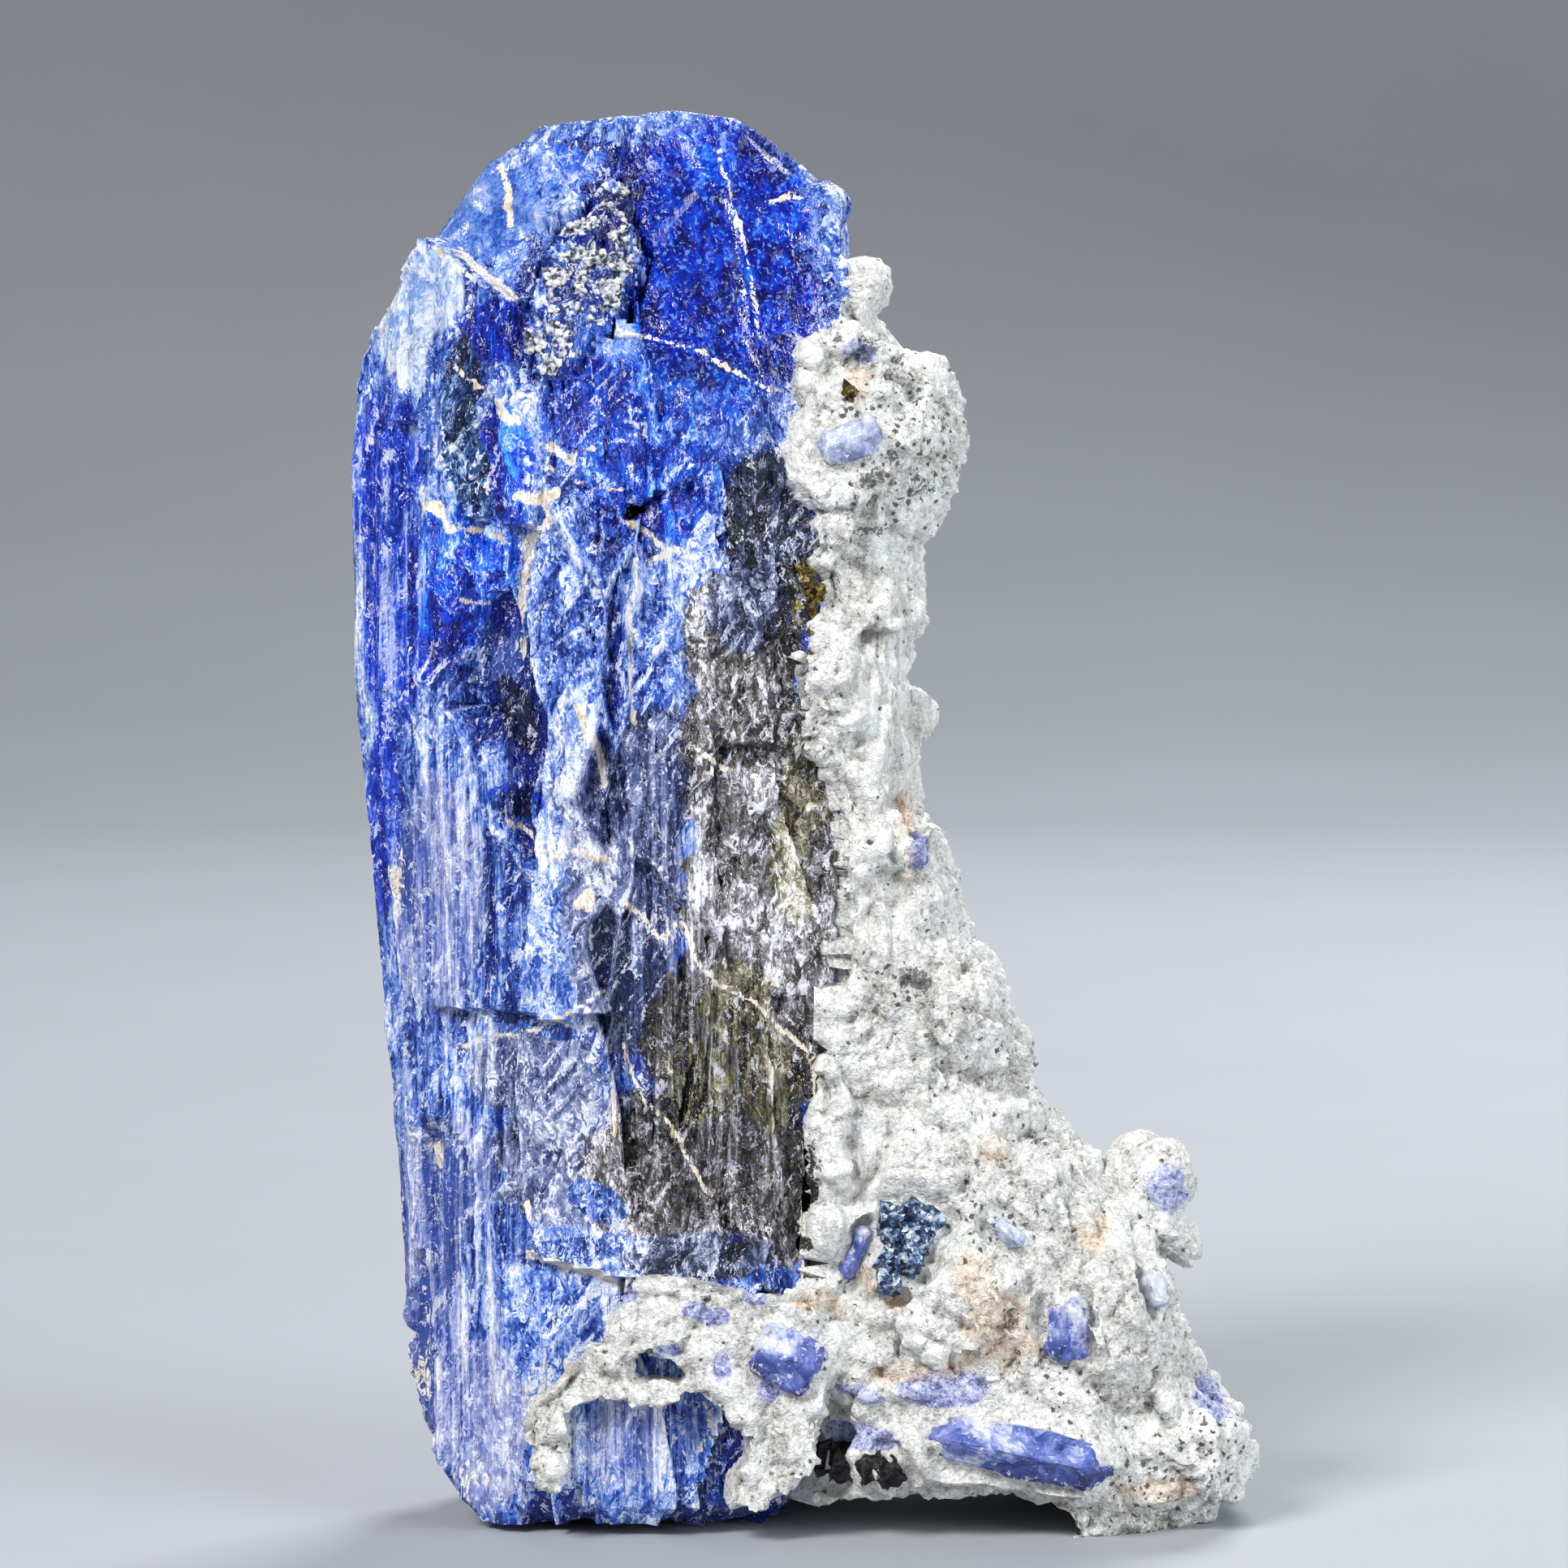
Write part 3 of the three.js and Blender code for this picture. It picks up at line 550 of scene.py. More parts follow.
def crystalRelief(place, flaky, streaky, calm):
    x, y, z = place
    wander = noise.noise(place * 0.35) * 0.8
    warped = place + Vector((0.5, 0.5, 1.5)) * wander

    plate, plateEdge, plateLevel = facetRelief(warped, 0.42, 0.3)
    flake = facetRelief(warped, 0.85, 0.55)
    chip = facetRelief(warped, 2.1, 0.6)

    wide = noise.noise(Vector((x * 1.1, y * 1.1, z * 0.035)))
    narrow = noise.noise(Vector((x * 3.1 + 9, y * 3.1, z * 0.08)))
    fine = noise.noise(Vector((x * 7.5, y * 7.5 + 5, z * 0.3)))
    crinkle = noise.noise(Vector((x * 4.2, y * 4.2 + 5, z * 2.4)))

    relief = -tanzanite["plateDepth"] * (1 - plateLevel) * smoothStep(0, 0.06, plateEdge)
    relief += tanzanite["ridgeDepth"] * (wide + 0.6 * abs(narrow) - 0.4) * (0.5 + streaky)
    relief += tanzanite["fineDepth"] * fine * (0.5 + streaky)
    relief += tanzanite["flakeDepth"] * flake[0] * (0.15 + 0.85 * flaky)
    relief += tanzanite["chipDepth"] * chip[0] * (0.25 + 0.75 * flaky) * (1 - 0.7 * streaky)
    relief += tanzanite["crinkleDepth"] * crinkle * (1 - 0.6 * streaky)
    return relief * (1 - 0.65 * calm) + 0.1


def buildCrystal():
    crystal = treeOf("tanzanite_crystal")
    fillers = ("peppered_crust", "pyrite_seam")
    covered = treeOf("tanzanite_crystal", swollen=fillers, swell=tanzanite["swell"])
    rings = tanzanite["topRings"] + tanzanite["bodyRings"] + tanzanite["footRings"]
    bm = bmesh.new()
    bmesh.ops.create_uvsphere(bm, u_segments=tanzanite["around"], v_segments=rings, radius=1)
    places, directions, sunk = [], [], []
    for vertex in bm.verts:
        theta = math.acos(max(-1.0, min(1.0, vertex.co.z)))
        start, direction = crystalRay(theta, math.atan2(vertex.co.y, vertex.co.x))
        outside = start + direction * tanzanite["outside"]
        hit, _, _, gap = covered.ray_cast(outside, -direction)
        bare = crystal.ray_cast(outside, -direction)[3]
        places.append(hit or start)
        directions.append(direction)
        sunk.append(bare is None or bare - gap > 0.01)
    seen = seenFromFront(np.array(places))
    fields = {name: ovalField(seen, zones) for name, zones in crystalZones.items()}
    flaky = ovalField(seen, flakeZones)
    low, high = (Vector(corner) / millimetre for corner in cadBox)
    relief = []
    for i, vertex in enumerate(bm.verts):
        place = places[i]
        depth = crystalRelief(place, flaky[i], fields["streaky"][i], fields["calm"][i])
        margin = min(place.x - low.x, high.z - place.z)
        inward = smoothStep(0, tanzanite["rimReach"], margin)
        depth *= tanzanite["rimShare"] + (1 - tanzanite["rimShare"]) * inward
        depth = min(depth, margin, tanzanite["highest"]) - tanzanite["pitDepth"] * fields["pit"][i]
        if sunk[i]:
            depth = -tanzanite["swell"] - tanzanite["pocketDepth"]
        depth -= tanzanite["footDepth"] * (1 - min(place.z / tanzanite["footReach"], 1.0)) ** 2
        relief.append(depth)
        vertex.co = place + directions[i] * depth
        vertex.co.z = max(vertex.co.z, 0.0)
    piece = finishPiece("tanzanite_crystal_surface", bm, ["tanzanite_crystal"])
    setMark(piece, "relief", relief)
    for name, field in fields.items():
        setMark(piece, name, field)
    front = np.array([place.y < 0 for place in places])
    gap = np.minimum.reduce([lineGap(seen, path, width) for path, width in crystalVeins.values()])
    setMark(piece, "veinGap", np.where(front, gap, farOff))
    return piece


# Tones of each zone from its shadows to its lights, 0 to 255
crystalTones = {
    "mottled": [(0.0, (4, 28, 112)), (0.3, (60, 102, 198)), (0.6, (156, 180, 232)), (0.9, (248, 250, 254))],
    "slate": [(0.0, (22, 30, 68)), (0.35, (78, 92, 142)), (0.65, (142, 152, 190)), (0.95, (232, 234, 244))],
    "lilac": [(0.0, (50, 74, 156)), (0.35, (122, 138, 198)), (0.65, (176, 184, 226)),
              (0.95, (240, 242, 252))],
    "pale": [(0.0, (36, 84, 192)), (0.35, (96, 136, 224)), (0.65, (156, 180, 242)), (0.95, (236, 240, 253))],
    "bright": [(0.0, (0, 22, 114)), (0.35, (0, 60, 188)), (0.65, (40, 114, 228)), (0.95, (186, 212, 254))],
    "violet": [(0.0, (0, 14, 106)), (0.35, (0, 48, 182)), (0.65, (48, 88, 214)), (0.95, (172, 190, 250))],
    "smoky": [(0.0, (12, 9, 8)), (0.35, (72, 67, 64)), (0.65, (136, 133, 138)), (0.9, (230, 230, 240))],
    "dusk": [(0.0, (4, 6, 14)), (0.4, (48, 54, 86)), (0.7, (128, 138, 176)), (0.95, (226, 230, 244))],
    "navy": [(0.0, (2, 10, 54)), (0.35, (12, 42, 118)), (0.65, (56, 96, 184)), (0.95, (196, 212, 248))],
    "deep": [(0.0, (0, 4, 82)), (0.35, (0, 34, 168)), (0.65, (0, 76, 222)), (0.95, (56, 146, 252))],
    "pepper": [(0.15, (6, 20, 56)), (0.4, (40, 78, 146)), (0.62, (126, 162, 210)), (0.92, (236, 244, 252))],
    "olive": [(0.0, (18, 15, 8)), (0.35, (84, 77, 52)), (0.65, (148, 142, 120)), (0.95, (228, 226, 216))],
}
zoneOrder = ["lilac", "slate", "pale", "bright", "violet", "smoky", "dusk", "olive", "deep", "navy", "pepper"]


# Broken faces: each cell has its own tone and lays its splinters its own way
def brokenFaces(tree, place, cellScales, splinterScales, spread):
    inputs = {"Vector": stretched(tree, place, cellScales), "Scale": 1.0}
    cells = put(tree, "TexVoronoi", inputs, distance="MANHATTAN").outputs["Color"]
    cell = grey(tree, cells)
    angle = swing(tree, cell, spread)
    turned = put(tree, "VectorRotate", {"Vector": place, "Axis": (0, 1, 0), "Angle": angle}).outputs[0]
    splinter = noiseField(tree, turned, splinterScales, detail=2, rough=0.6, distort=0.8)
    return cells, cell, splinter


def finishCrystal(piece):
    tree, shader = newMaterial("tanzanite", piece)
    place = millimetres(tree)
    mottle = noiseField(tree, place, (1.2, 1.2, 0.9), detail=4, rough=0.72, distort=1.0)
    streak = noiseField(tree, place, (3.2, 3.2, 0.15), detail=3, rough=0.75, distort=0.3)
    crinkle = noiseField(tree, place, (4.6, 4.6, 2.6), detail=2, rough=0.65, distort=1.4)
    drift = put(tree, "CombineXYZ", {0: mottle, 1: crinkle, 2: mottle}).outputs[0]
    warp = stretched(tree, drift, (1.2, 0.7, 1.6))
    warped = put(tree, "VectorMath", {0: place, 1: warp}, operation="ADD").outputs[0]
    cells, cell, splinter = brokenFaces(tree, warped, (1.0, 1.0, 0.62), (4.0, 4.0, 0.8), 2.6)

    chipped = weighted(tree, (splinter, 0.34), (crinkle, 0.26), (mottle, 0.2), (cell, 0.09), (streak, 0.11))
    combed = weighted(tree, (streak, 0.6), (crinkle, 0.22), (mottle, 0.12), (splinter, 0.06))
    glassy = weighted(tree, (mottle, 0.5), (crinkle, 0.14), (streak, 0.2), (splinter, 0.1))
    calm = mark(tree, "calm")
    tone = mixValues(tree, mark(tree, "streaky"), chipped, combed)
    tone = mixValues(tree, calm, tone, glassy)
    # painted light and shade: the relief lifts the tone on crests and darkens it in hollows
    tone = plus(tree, tone, times(tree, mark(tree, "relief"), 0.2))
    tone = rangeOf(tree, tone, 0.405, 0.59, kind="LINEAR")

    colour = ramp(tree, tone, crystalTones["mottled"])
    border = weighted(tree, (mottle, 1.1), (cell, 0.25), (streak, 0.3))
    for name in zoneOrder:
        field = plus(tree, mark(tree, name), minus(tree, border, 0.82))
        share = rangeOf(tree, field, 0.36, 0.56)
        colour = mixColours(tree, share, colour, ramp(tree, tone, crystalTones[name]))

    # painted sparkle: pale blue specks that stand for glints of light, mostly in the calm glassy parts
    sparkleNoise = noiseField(tree, place, (8.5, 8.5, 7.5), detail=1, rough=0.5)
    paintedSparkle = times(tree, rangeOf(tree, sparkleNoise, 0.6, 0.67), rangeOf(tree, calm, 0.1, 0.8, 0.1, 0.65))
    colour = mixColours(tree, paintedSparkle, colour, light(112, 168, 253))
    # painted glints: near-white flecks on the splinters' crests, fewer in the smoky and calm parts
    sharp = rangeOf(tree, splinter, 0.575, 0.64)
    sharp = times(tree, sharp, rangeOf(tree, mark(tree, "smoky"), 0.2, 0.8, 1.0, 0.65))
    sharp = times(tree, sharp, rangeOf(tree, calm, 0.1, 0.7, 0.75, 0.1))
    colour = mixColours(tree, sharp, colour, light(232, 236, 252))

    frostField = plus(tree, mark(tree, "frost"), swing(tree, streak, 1.2))
    frost = rangeOf(tree, frostField, 0.34, 0.6)
    frostTone = ramp(tree, tone, [(0.0, (110, 146, 206)), (0.4, (202, 212, 232)), (0.9, (240, 243, 250))])
    colour = mixColours(tree, frost, colour, frostTone)
    flour = weighted(tree, (crinkle, 2.0), (streak, 1.6), (splinter, 1.2))
    chalkField = times(tree, mark(tree, "chalk"), minus(tree, flour, 1.7))
    wobble = weighted(tree, (mottle, 0.22), (crinkle, 0.34))
    veinField = plus(tree, mark(tree, "veinGap"), minus(tree, wobble, 0.29))
    painted = rangeOf(tree, veinField, 0.0, 0.03, 1.0, 0.0)
    vein = calc(tree, "MAXIMUM", painted, rangeOf(tree, chalkField, 0.62, 0.75))
    veinTone = ramp(tree, weighted(tree, (mottle, 0.6), (crinkle, 0.4)),
                    [(0.38, (196, 174, 142)), (0.46, (232, 222, 206)), (0.6, (250, 249, 248))])
    colour = mixColours(tree, vein, colour, veinTone)
    # painted shade: the pits are coloured near black
    colour = mixColours(tree, rangeOf(tree, mark(tree, "pit"), 0.3, 0.6), colour, light(8, 8, 20))
    link(tree, colour, shader, "Base Color")

    cover = calc(tree, "MAXIMUM", vein, frost)
    polish = rangeOf(tree, crinkle, 0.4, 0.6, 0.08, 0.24)
    link(tree, plus(tree, polish, times(tree, cover, 0.4)), shader, "Roughness")
    bare = minus(tree, 1.0, cover)
    clear = times(tree, calm, 0.3)
    link(tree, calc(tree, "MULTIPLY", bare, clear, clamp=True), shader, "Transmission Weight")
    shader.inputs["IOR"].default_value = tanzanite["ior"]
    shader.inputs["Specular IOR Level"].default_value = 0.3
    broken = minus(tree, 1.0, times(tree, calm, 0.8))
    height = weighted(tree, (crinkle, 0.5), (streak, 0.6))
    normal = cellNormals(tree, cells, times(tree, broken, 0.42))
    bumped(tree, shader, times(tree, height, broken), 0.2, normal)


# The matrix

matrix = {
    "voxel": 0.145,  # mm, as all but the shares
    "massDepth": 0.45,
    "lumpDepth": 0.36,
    "crumbDepth": 0.26,
    "grainDepth": 0.1,
    "sugarDepth": 0.05,
    "contactReach": 0.5,  # faces this near the crystal are drawn into it
    "contactOverlap": 0.3,
    "facing": 0.5,  # share, 1 for a face square to the crystal
    "collar": 0.36,  # swelling of the rock behind each inlaid piece
    "collarDepth": 0.56,  # and how far back it lies
    "inlayReach": (0.3, 0.9),  # the relief fades this near the pieces that sit in the matrix
    "inlayShare": 0.25,  # share of it that is left there
    "inlaySink": 0.06,
    "soleReach": 0.1,  # faces turned down this near the floor stay level
    "soleHeight": 0.02,
}

smallCrystals = ["foot_tanzanite", "hollow_tanzanite", "left_tanzanite", "upper_tanzanite", "right_tanzanite",
                 "brow_tanzanite", "sliver_tanzanite"]
paleCrystals = ["upper_tanzanite", "right_tanzanite", "brow_tanzanite"]
inlays = smallCrystals + ["pyrite_cluster", "pyrite_grain", "graphite_mass"]  # what sits in the matrix

# Soft ovals as for the crystal
matrixZones = {
    "stain": [(5.4, 5.4, 1.1, 1.2), (5.3, 10.6, 0.7, 0.5), (3.2, 4.2, 2.2, 0.35, -4),
              (1.4, 32.2, 0.4, 0.7), (6.6, 4.8, 1.6, 0.4, 15), (2.0, 6.6, 1.4, 0.4, 40),
              (4.6, 6.8, 0.6, 0.9), (8.4, 8.2, 0.5, 0.7), (2.9, 19.4, 0.3, 1.6),
              (0.2, 6.2, 0.8, 0.4), (10.0, 0.7, 1.2, 0.4), (-6.9, 4.2, 0.3, 0.4)],
    "dark": [(6.6, 10.8, 0.4, 0.2, 45), (3.1, 15.4, 0.6, 0.4), (1.9, 29.6, 0.6, 0.35, -20),
             (1.8, 28.1, 0.5, 0.2, -10), (5.9, 5.5, 0.35, 0.4, 30), (3.2, 29.4, 0.35, 0.3),
             (2.5, 30.15, 0.25, 0.25), (1.8, 33.5, 0.5, 0.25, 15), (3.95, 31.2, 0.2, 0.2),
             (4.0, 30.2, 0.35, 0.12, 30), (2.6, 33.0, 0.25, 0.15, -30), (1.5, 33.1, 0.3, 0.3),
             (0.9, 33.6, 0.15, 0.25), (2.4, 32.6, 0.3, 0.15, 45), (3.2, 31.9, 0.25, 0.15),
             (1.3, 28.7, 0.2, 0.3)],
    "peppery": [(2.6, 30.6, 1.7, 2.0), (11.6, 2.0, 1.0, 1.4), (9.8, 1.0, 1.8, 0.8),
                (7.2, 4.0, 0.8, 1.6), (2.6, 15.2, 0.9, 0.8), (5.2, 8.6, 1.6, 1.0)],
    # the oval at 10.3 across, 9.4 up is painted shade on the round ball
    "lilac": [(3.8, 3.6, 1.3, 0.6), (1.6, 2.3, 1.1, 0.4, 10), (-2.6, 5.7, 0.45, 0.3),
              (3.3, 19.0, 0.4, 0.7), (10.3, 9.4, 0.6, 0.7), (11.6, 3.4, 0.4, 0.9, -20),
              (1.5, 33.2, 0.45, 0.4), (-1.1, 3.6, 0.4, 0.4), (-5.2, 6.3, 0.5, 0.25, -10),
              (-3.2, 5.9, 0.4, 0.25), (-1.5, 6.3, 0.35, 0.3), (-6.5, 4.9, 0.2, 0.5, 20),
              (-4.0, 4.7, 0.5, 0.2), (-2.4, 4.2, 0.3, 0.5), (1.5, 3.5, 0.8, 0.25, 20)],
    "fibre": [(2.6, 23.4, 1.3, 3.2), (1.4, 9.0, 1.0, 2.0, 10), (2.2, 17.0, 0.9, 1.6)],
    # slit: the thin dark crack at the contact, painted as shade
    "slit": [(0.12, 9.7, 0.12, 1.2, 4), (0.1, 7.75, 0.12, 0.3)],
    "smooth": [(9.7, 9.7, 1.3, 1.3), (1.75, 35.1, 1.0, 1.0)],
}


# Lumps that lap over the edge of the crystal, along lines given across, up and deep.
# Across and up are as the camera sees them.
contactLine = [(0.9, 33.6, -3.9), (0.2, 32.2, -4.4), (0.15, 30.4, -4.6), (0.7, 28.4, -4.4),
               (1.0, 26.4, -4.2), (0.3, 24.6, -4.55), (0.3, 23.0, -4.6), (1.0, 21.4, -4.3),
               (1.55, 19.6, -4.1), (1.65, 17.6, -4.1), (1.5, 15.0, -4.3), (0.9, 12.6, -4.75),
               (0.7, 11.0, -4.85), (0.6, 9.4, -4.9), (0.55, 8.2, -4.9), (0.4, 7.0, -4.85)]
footLine = [(0.5, 6.5, -4.7), (-0.6, 5.9, -4.8), (-2.4, 5.85, -4.8), (-4.4, 6.15, -4.9), (-5.4, 6.3, -4.9)]
knotLumps = [(1.74, 35.25, -0.6, 0.68), (1.76, 34.95, -0.8, 0.74), (1.3, 34.3, -2.4, 0.5),
             (0.25, 33.1, -4.7, 0.5), (1.1, 33.5, -4.7, 0.6), (2.0, 33.0, -4.9, 0.6),
             (2.1, 32.1, -5.1, 0.45), (0.2, 32.1, -5.0, 0.45), (0.0, 31.0, -5.0, 0.4),
             (1.2, 29.3, -5.1, 0.6), (2.6, 30.7, -5.0, 0.6), (0.3, 29.6, -5.0, 0.5),
             (2.2, 29.6, -5.0, 0.6), (1.3, 31.65, -5.3, 0.25)]
contact = {"seed": 7, "step": 0.5, "small": 0.42, "large": 0.72, "spread": 0.2, "footShare": 0.62}


def placeSeen(across, up, depth):  # the point at this depth that the camera sees there
    growth = 1 + depth / camera["distance"]
    right = camera["aim"][0] + (across - camera["aim"][0]) * growth
    drop = depth * math.tan(math.radians(camera["lookDown"]))
    return Vector((right, depth, camera["aim"][2] + (up - camera["aim"][2]) * growth - drop))


def addLumps(bm):
    chance = random.Random(contact["seed"])
    for across, up, depth, size in knotLumps:
        place = Matrix.Translation(placeSeen(across, up, depth)) @ Matrix.Scale(size, 4)
        bmesh.ops.create_icosphere(bm, subdivisions=2, radius=1, matrix=place)
    stretches = [(1.0, *pair) for pair in zip(contactLine, contactLine[1:])]
    stretches += [(contact["footShare"], *pair) for pair in zip(footLine, footLine[1:])]
    for share, start, end in stretches:
        start, end = Vector(start), Vector(end)
        count = round((end - start).length / contact["step"] / share)
        for i in range(count):
            across, up, depth = start.lerp(end, i / count)
            across += chance.uniform(-contact["spread"], contact["spread"])
            size = share * chance.uniform(contact["small"], contact["large"])
            flat, tall = chance.uniform(0.7, 0.95), chance.uniform(0.9, 1.6)
            shape = Matrix.Diagonal((size, size * flat, size * tall, 1))
            lean = Matrix.Rotation(chance.uniform(-0.6, 0.6), 4, "Y")
            place = Matrix.Translation(placeSeen(across, up, depth)) @ lean @ shape
            bmesh.ops.create_icosphere(bm, subdivisions=2, radius=1, matrix=place)


def addCollars(bm):  # fills the gaps round the pieces that sit in the matrix
    for node in inlays:
        collar = mergedCopy(node)
        collar.normal_update()
        for vertex in collar.verts:
            vertex.co += vertex.normal * matrix["collar"] + Vector((0, matrix["collarDepth"], 0))
        mesh = bpy.data.meshes.new("collar")
        collar.to_mesh(mesh)
        collar.free()
        bm.from_mesh(mesh)
        bpy.data.meshes.remove(mesh)


def matrixRelief(place, fibre, smooth):
    x, y, z = place
    wander = noise.noise(place * 0.5) * 0.9
    warped = place + Vector((wander, wander, -wander)) * 0.6
    mass = facetRelief(warped, 0.38, 0.8)
    lump = facetRelief(warped, 0.8, 1.0)
    crumb = facetRelief(warped, 1.7, 1.0)
    grain = facetRelief(place, 3.4, 1.0)
    comb = noise.noise(Vector((x * 2.6 - z * 0.35, y * 2.6, z * 0.25)))
    sugar = noise.noise(place * 6.5)
    relief = matrix["massDepth"] * (mass[0] + 0.5 * smoothStep(0, 0.25, mass[1]) - 0.4)
    relief += matrix["lumpDepth"] * (lump[0] + 0.35 * smoothStep(0, 0.3, lump[1]) - 0.25)
    crumbLevel = crumb[0] + 0.4 * smoothStep(0, 0.25, crumb[1]) - 0.3
    relief += matrix["crumbDepth"] * crumbLevel * (1 - 0.6 * fibre)
    relief += matrix["grainDepth"] * (grain[0] + 0.4 * smoothStep(0, 0.4, grain[1]) - 0.3)
    relief += matrix["crumbDepth"] * comb * fibre
    relief += matrix["sugarDepth"] * sugar
    return relief * (1 - 0.75 * smooth)


def buildMatrix():
    neighbours = treeOf("tanzanite_crystal")
    held = treeOf(*inlays)
    bm = mergedCopy("matrix")
    addLumps(bm)
    addCollars(bm)
    bm = remeshed(bm, matrix["voxel"], "matrix")
    seen = seenFromFront(np.array([vertex.co for vertex in bm.verts]))
    fields = {name: ovalField(seen, zones) for name, zones in matrixZones.items()}
    low, high = (Vector(corner) / millimetre for corner in cadBox)
    moves, relief = [], []
    for i, vertex in enumerate(bm.verts):
        nearest, _, _, gap = neighbours.find_nearest(vertex.co)
        depth = matrixRelief(vertex.co, fields["fibre"][i], fields["smooth"][i])
        away = smoothStep(*matrix["inlayReach"], held.find_nearest(vertex.co)[3])
        depth *= matrix["inlayShare"] + (1 - matrix["inlayShare"]) * away
        depth -= matrix["inlaySink"] * (1 - away)
        move = vertex.normal * depth
        towards = (nearest - vertex.co).normalized()
        if gap < matrix["contactReach"] and towards.dot(vertex.normal) > matrix["facing"]:
            move = towards * (gap + matrix["contactOverlap"])
        moves.append(move)
        relief.append(depth)
    for vertex, move in zip(bm.verts, moves):
        resting = vertex.co.z < matrix["soleReach"] and vertex.normal.z < -0.5
        vertex.co += Vector((move.x, move.y, 0)) if resting else move
        vertex.co.x = min(vertex.co.x, high.x)
        vertex.co.y = max(min(vertex.co.y, high.y), low.y)
        vertex.co.z = max(vertex.co.z, 0.0 if resting else matrix["soleHeight"])
    piece = finishPiece("matrix_surface", bm, ["matrix"], sharpAngle=60)
    setMark(piece, "relief", relief)
    ahead = 1 - softShare(-1.5, 1.5, placesOf(piece)[:, 1])
    for name, field in fields.items():
        setMark(piece, name, field * ahead if name in ("lilac", "slit", "dark") else field)
    return piece


matrixTones = {
    "plain": [(0.0, (126, 122, 116)), (0.25, (182, 181, 176)), (0.55, (214, 215, 212)),
              (0.9, (244, 244, 244))],
    "green": [(0.0, (104, 112, 106)), (0.4, (174, 184, 176)), (0.9, (226, 232, 226))],
    "lilac": [(0.0, (44, 52, 108)), (0.4, (110, 118, 184)), (0.9, (206, 212, 240))],
    "stain": [(0.0, (132, 96, 62)), (0.4, (212, 182, 150)), (0.9, (242, 228, 212))],
}


def finishMatrix(piece):
    tree, shader = newMaterial("matrix", piece)
    place = millimetres(tree)
    cloud = noiseField(tree, place, (0.7, 0.7, 0.5), detail=5, rough=0.7, distort=1.0)
    sugar = noiseField(tree, place, (7.5, 7.5, 7.5), detail=2, rough=0.7, distort=0.6)
    comb = noiseField(tree, place, (4.0, 4.0, 0.5), detail=3, rough=0.7, distort=0.5)
    dots = put(tree, "TexVoronoi", {"Vector": stretched(tree, place, (4.6, 4.6, 4.6)), "Scale": 1.0})
    cells = dots.outputs["Color"]
    cell = grey(tree, cells)
    plain = weighted(tree, (cloud, 0.34), (cell, 0.14), (sugar, 0.52))
    combed = weighted(tree, (cloud, 0.2), (comb, 0.6), (sugar, 0.2))
    tone = mixValues(tree, mark(tree, "fibre"), plain, combed)
    # painted light and shade: the relief lifts the tone on crests and darkens it in hollows
    tone = plus(tree, tone, times(tree, mark(tree, "relief"), 0.22))
    tone = rangeOf(tree, tone, 0.32, 0.62, kind="LINEAR")
    colour = ramp(tree, tone, matrixTones["plain"])
    green = rangeOf(tree, cloud, 0.5, 0.66, 0.0, 0.55)
    colour = mixColours(tree, green, colour, ramp(tree, tone, matrixTones["green"]))
    lilacField = plus(tree, mark(tree, "lilac"), swing(tree, cloud, 1.6))
    lilac = rangeOf(tree, lilacField, 0.4, 0.6, 0.0, 0.85)
    colour = mixColours(tree, lilac, colour, ramp(tree, tone, matrixTones["lilac"]))
    hollow = rangeOf(tree, mark(tree, "relief"), -0.25, 0.15, 0.35, -0.25, kind="LINEAR")
    thread = plus(tree, times(tree, hairlines(tree, cloud, 0.04), 0.3), hollow)
    stainField = plus(tree, mark(tree, "stain"), plus(tree, swing(tree, sugar, 1.6), thread))
    stain = rangeOf(tree, stainField, 0.45, 1.3, 0.0, 0.7)
    colour = mixColours(tree, stain, colour, ramp(tree, tone, matrixTones["stain"]))
    scattered = rangeOf(tree, cloud, 0.4, 0.7, 0.0, 0.25)
    crowd = plus(tree, times(tree, mark(tree, "peppery"), 0.4), scattered)
    size = times(tree, rangeOf(tree, minus(tree, crowd, cell), -0.3, 0.1), 0.42)
    ragged = plus(tree, dots.outputs["Distance"], swing(tree, sugar, 0.9))
    speck = rangeOf(tree, minus(tree, ragged, size), -0.12, 0.0, 0.85, 0.0)
    colour = mixColours(tree, speck, colour, light(46, 44, 50))
    darkField = plus(tree, mark(tree, "dark"), swing(tree, sugar, 3.0))
    colour = mixColours(tree, rangeOf(tree, darkField, 0.75, 1.0, 0.0, 0.85), colour, light(52, 54, 62))
    # painted shade: the slit is coloured dark brown-grey
    slitField = plus(tree, mark(tree, "slit"), swing(tree, sugar, 2.4))
    colour = mixColours(tree, rangeOf(tree, slitField, 0.5, 0.8), colour, light(54, 50, 44))
    link(tree, colour, shader, "Base Color")
    link(tree, rangeOf(tree, sugar, 0.38, 0.66, 0.62, 0.22), shader, "Roughness")
    bumped(tree, shader, weighted(tree, (sugar, 0.8), (comb, 0.2)), 0.12, cellNormals(tree, cells, 0.3))


# Small crystals and grains

smallCrystal = {
    "bevel": 0.05,  # mm
    "longestEdge": 0.22,
    "splits": 3,
    "flakeDepth": 0.26,
    "chipDepth": 0.18,
    "sink": 0.08,
    "rim": (0.15, 0.75),  # how far from the rock its crumbs reach
}

# How far the ends thin out, and the lean in degrees
smallShapes = {
    "foot_tanzanite": (0.45, 5),
    "upper_tanzanite": (0.1, -34),
    "hollow_tanzanite": (0.3, 20),
    "left_tanzanite": (0.35, -12),
}
smallTones = {
    "violet": [(0.0, (28, 42, 104)), (0.35, (68, 88, 172)), (0.65, (118, 136, 208)), (0.95, (224, 230, 248))],
    "pale": [(0.0, (100, 112, 160)), (0.4, (168, 180, 216)), (0.95, (238, 241, 250))],
}


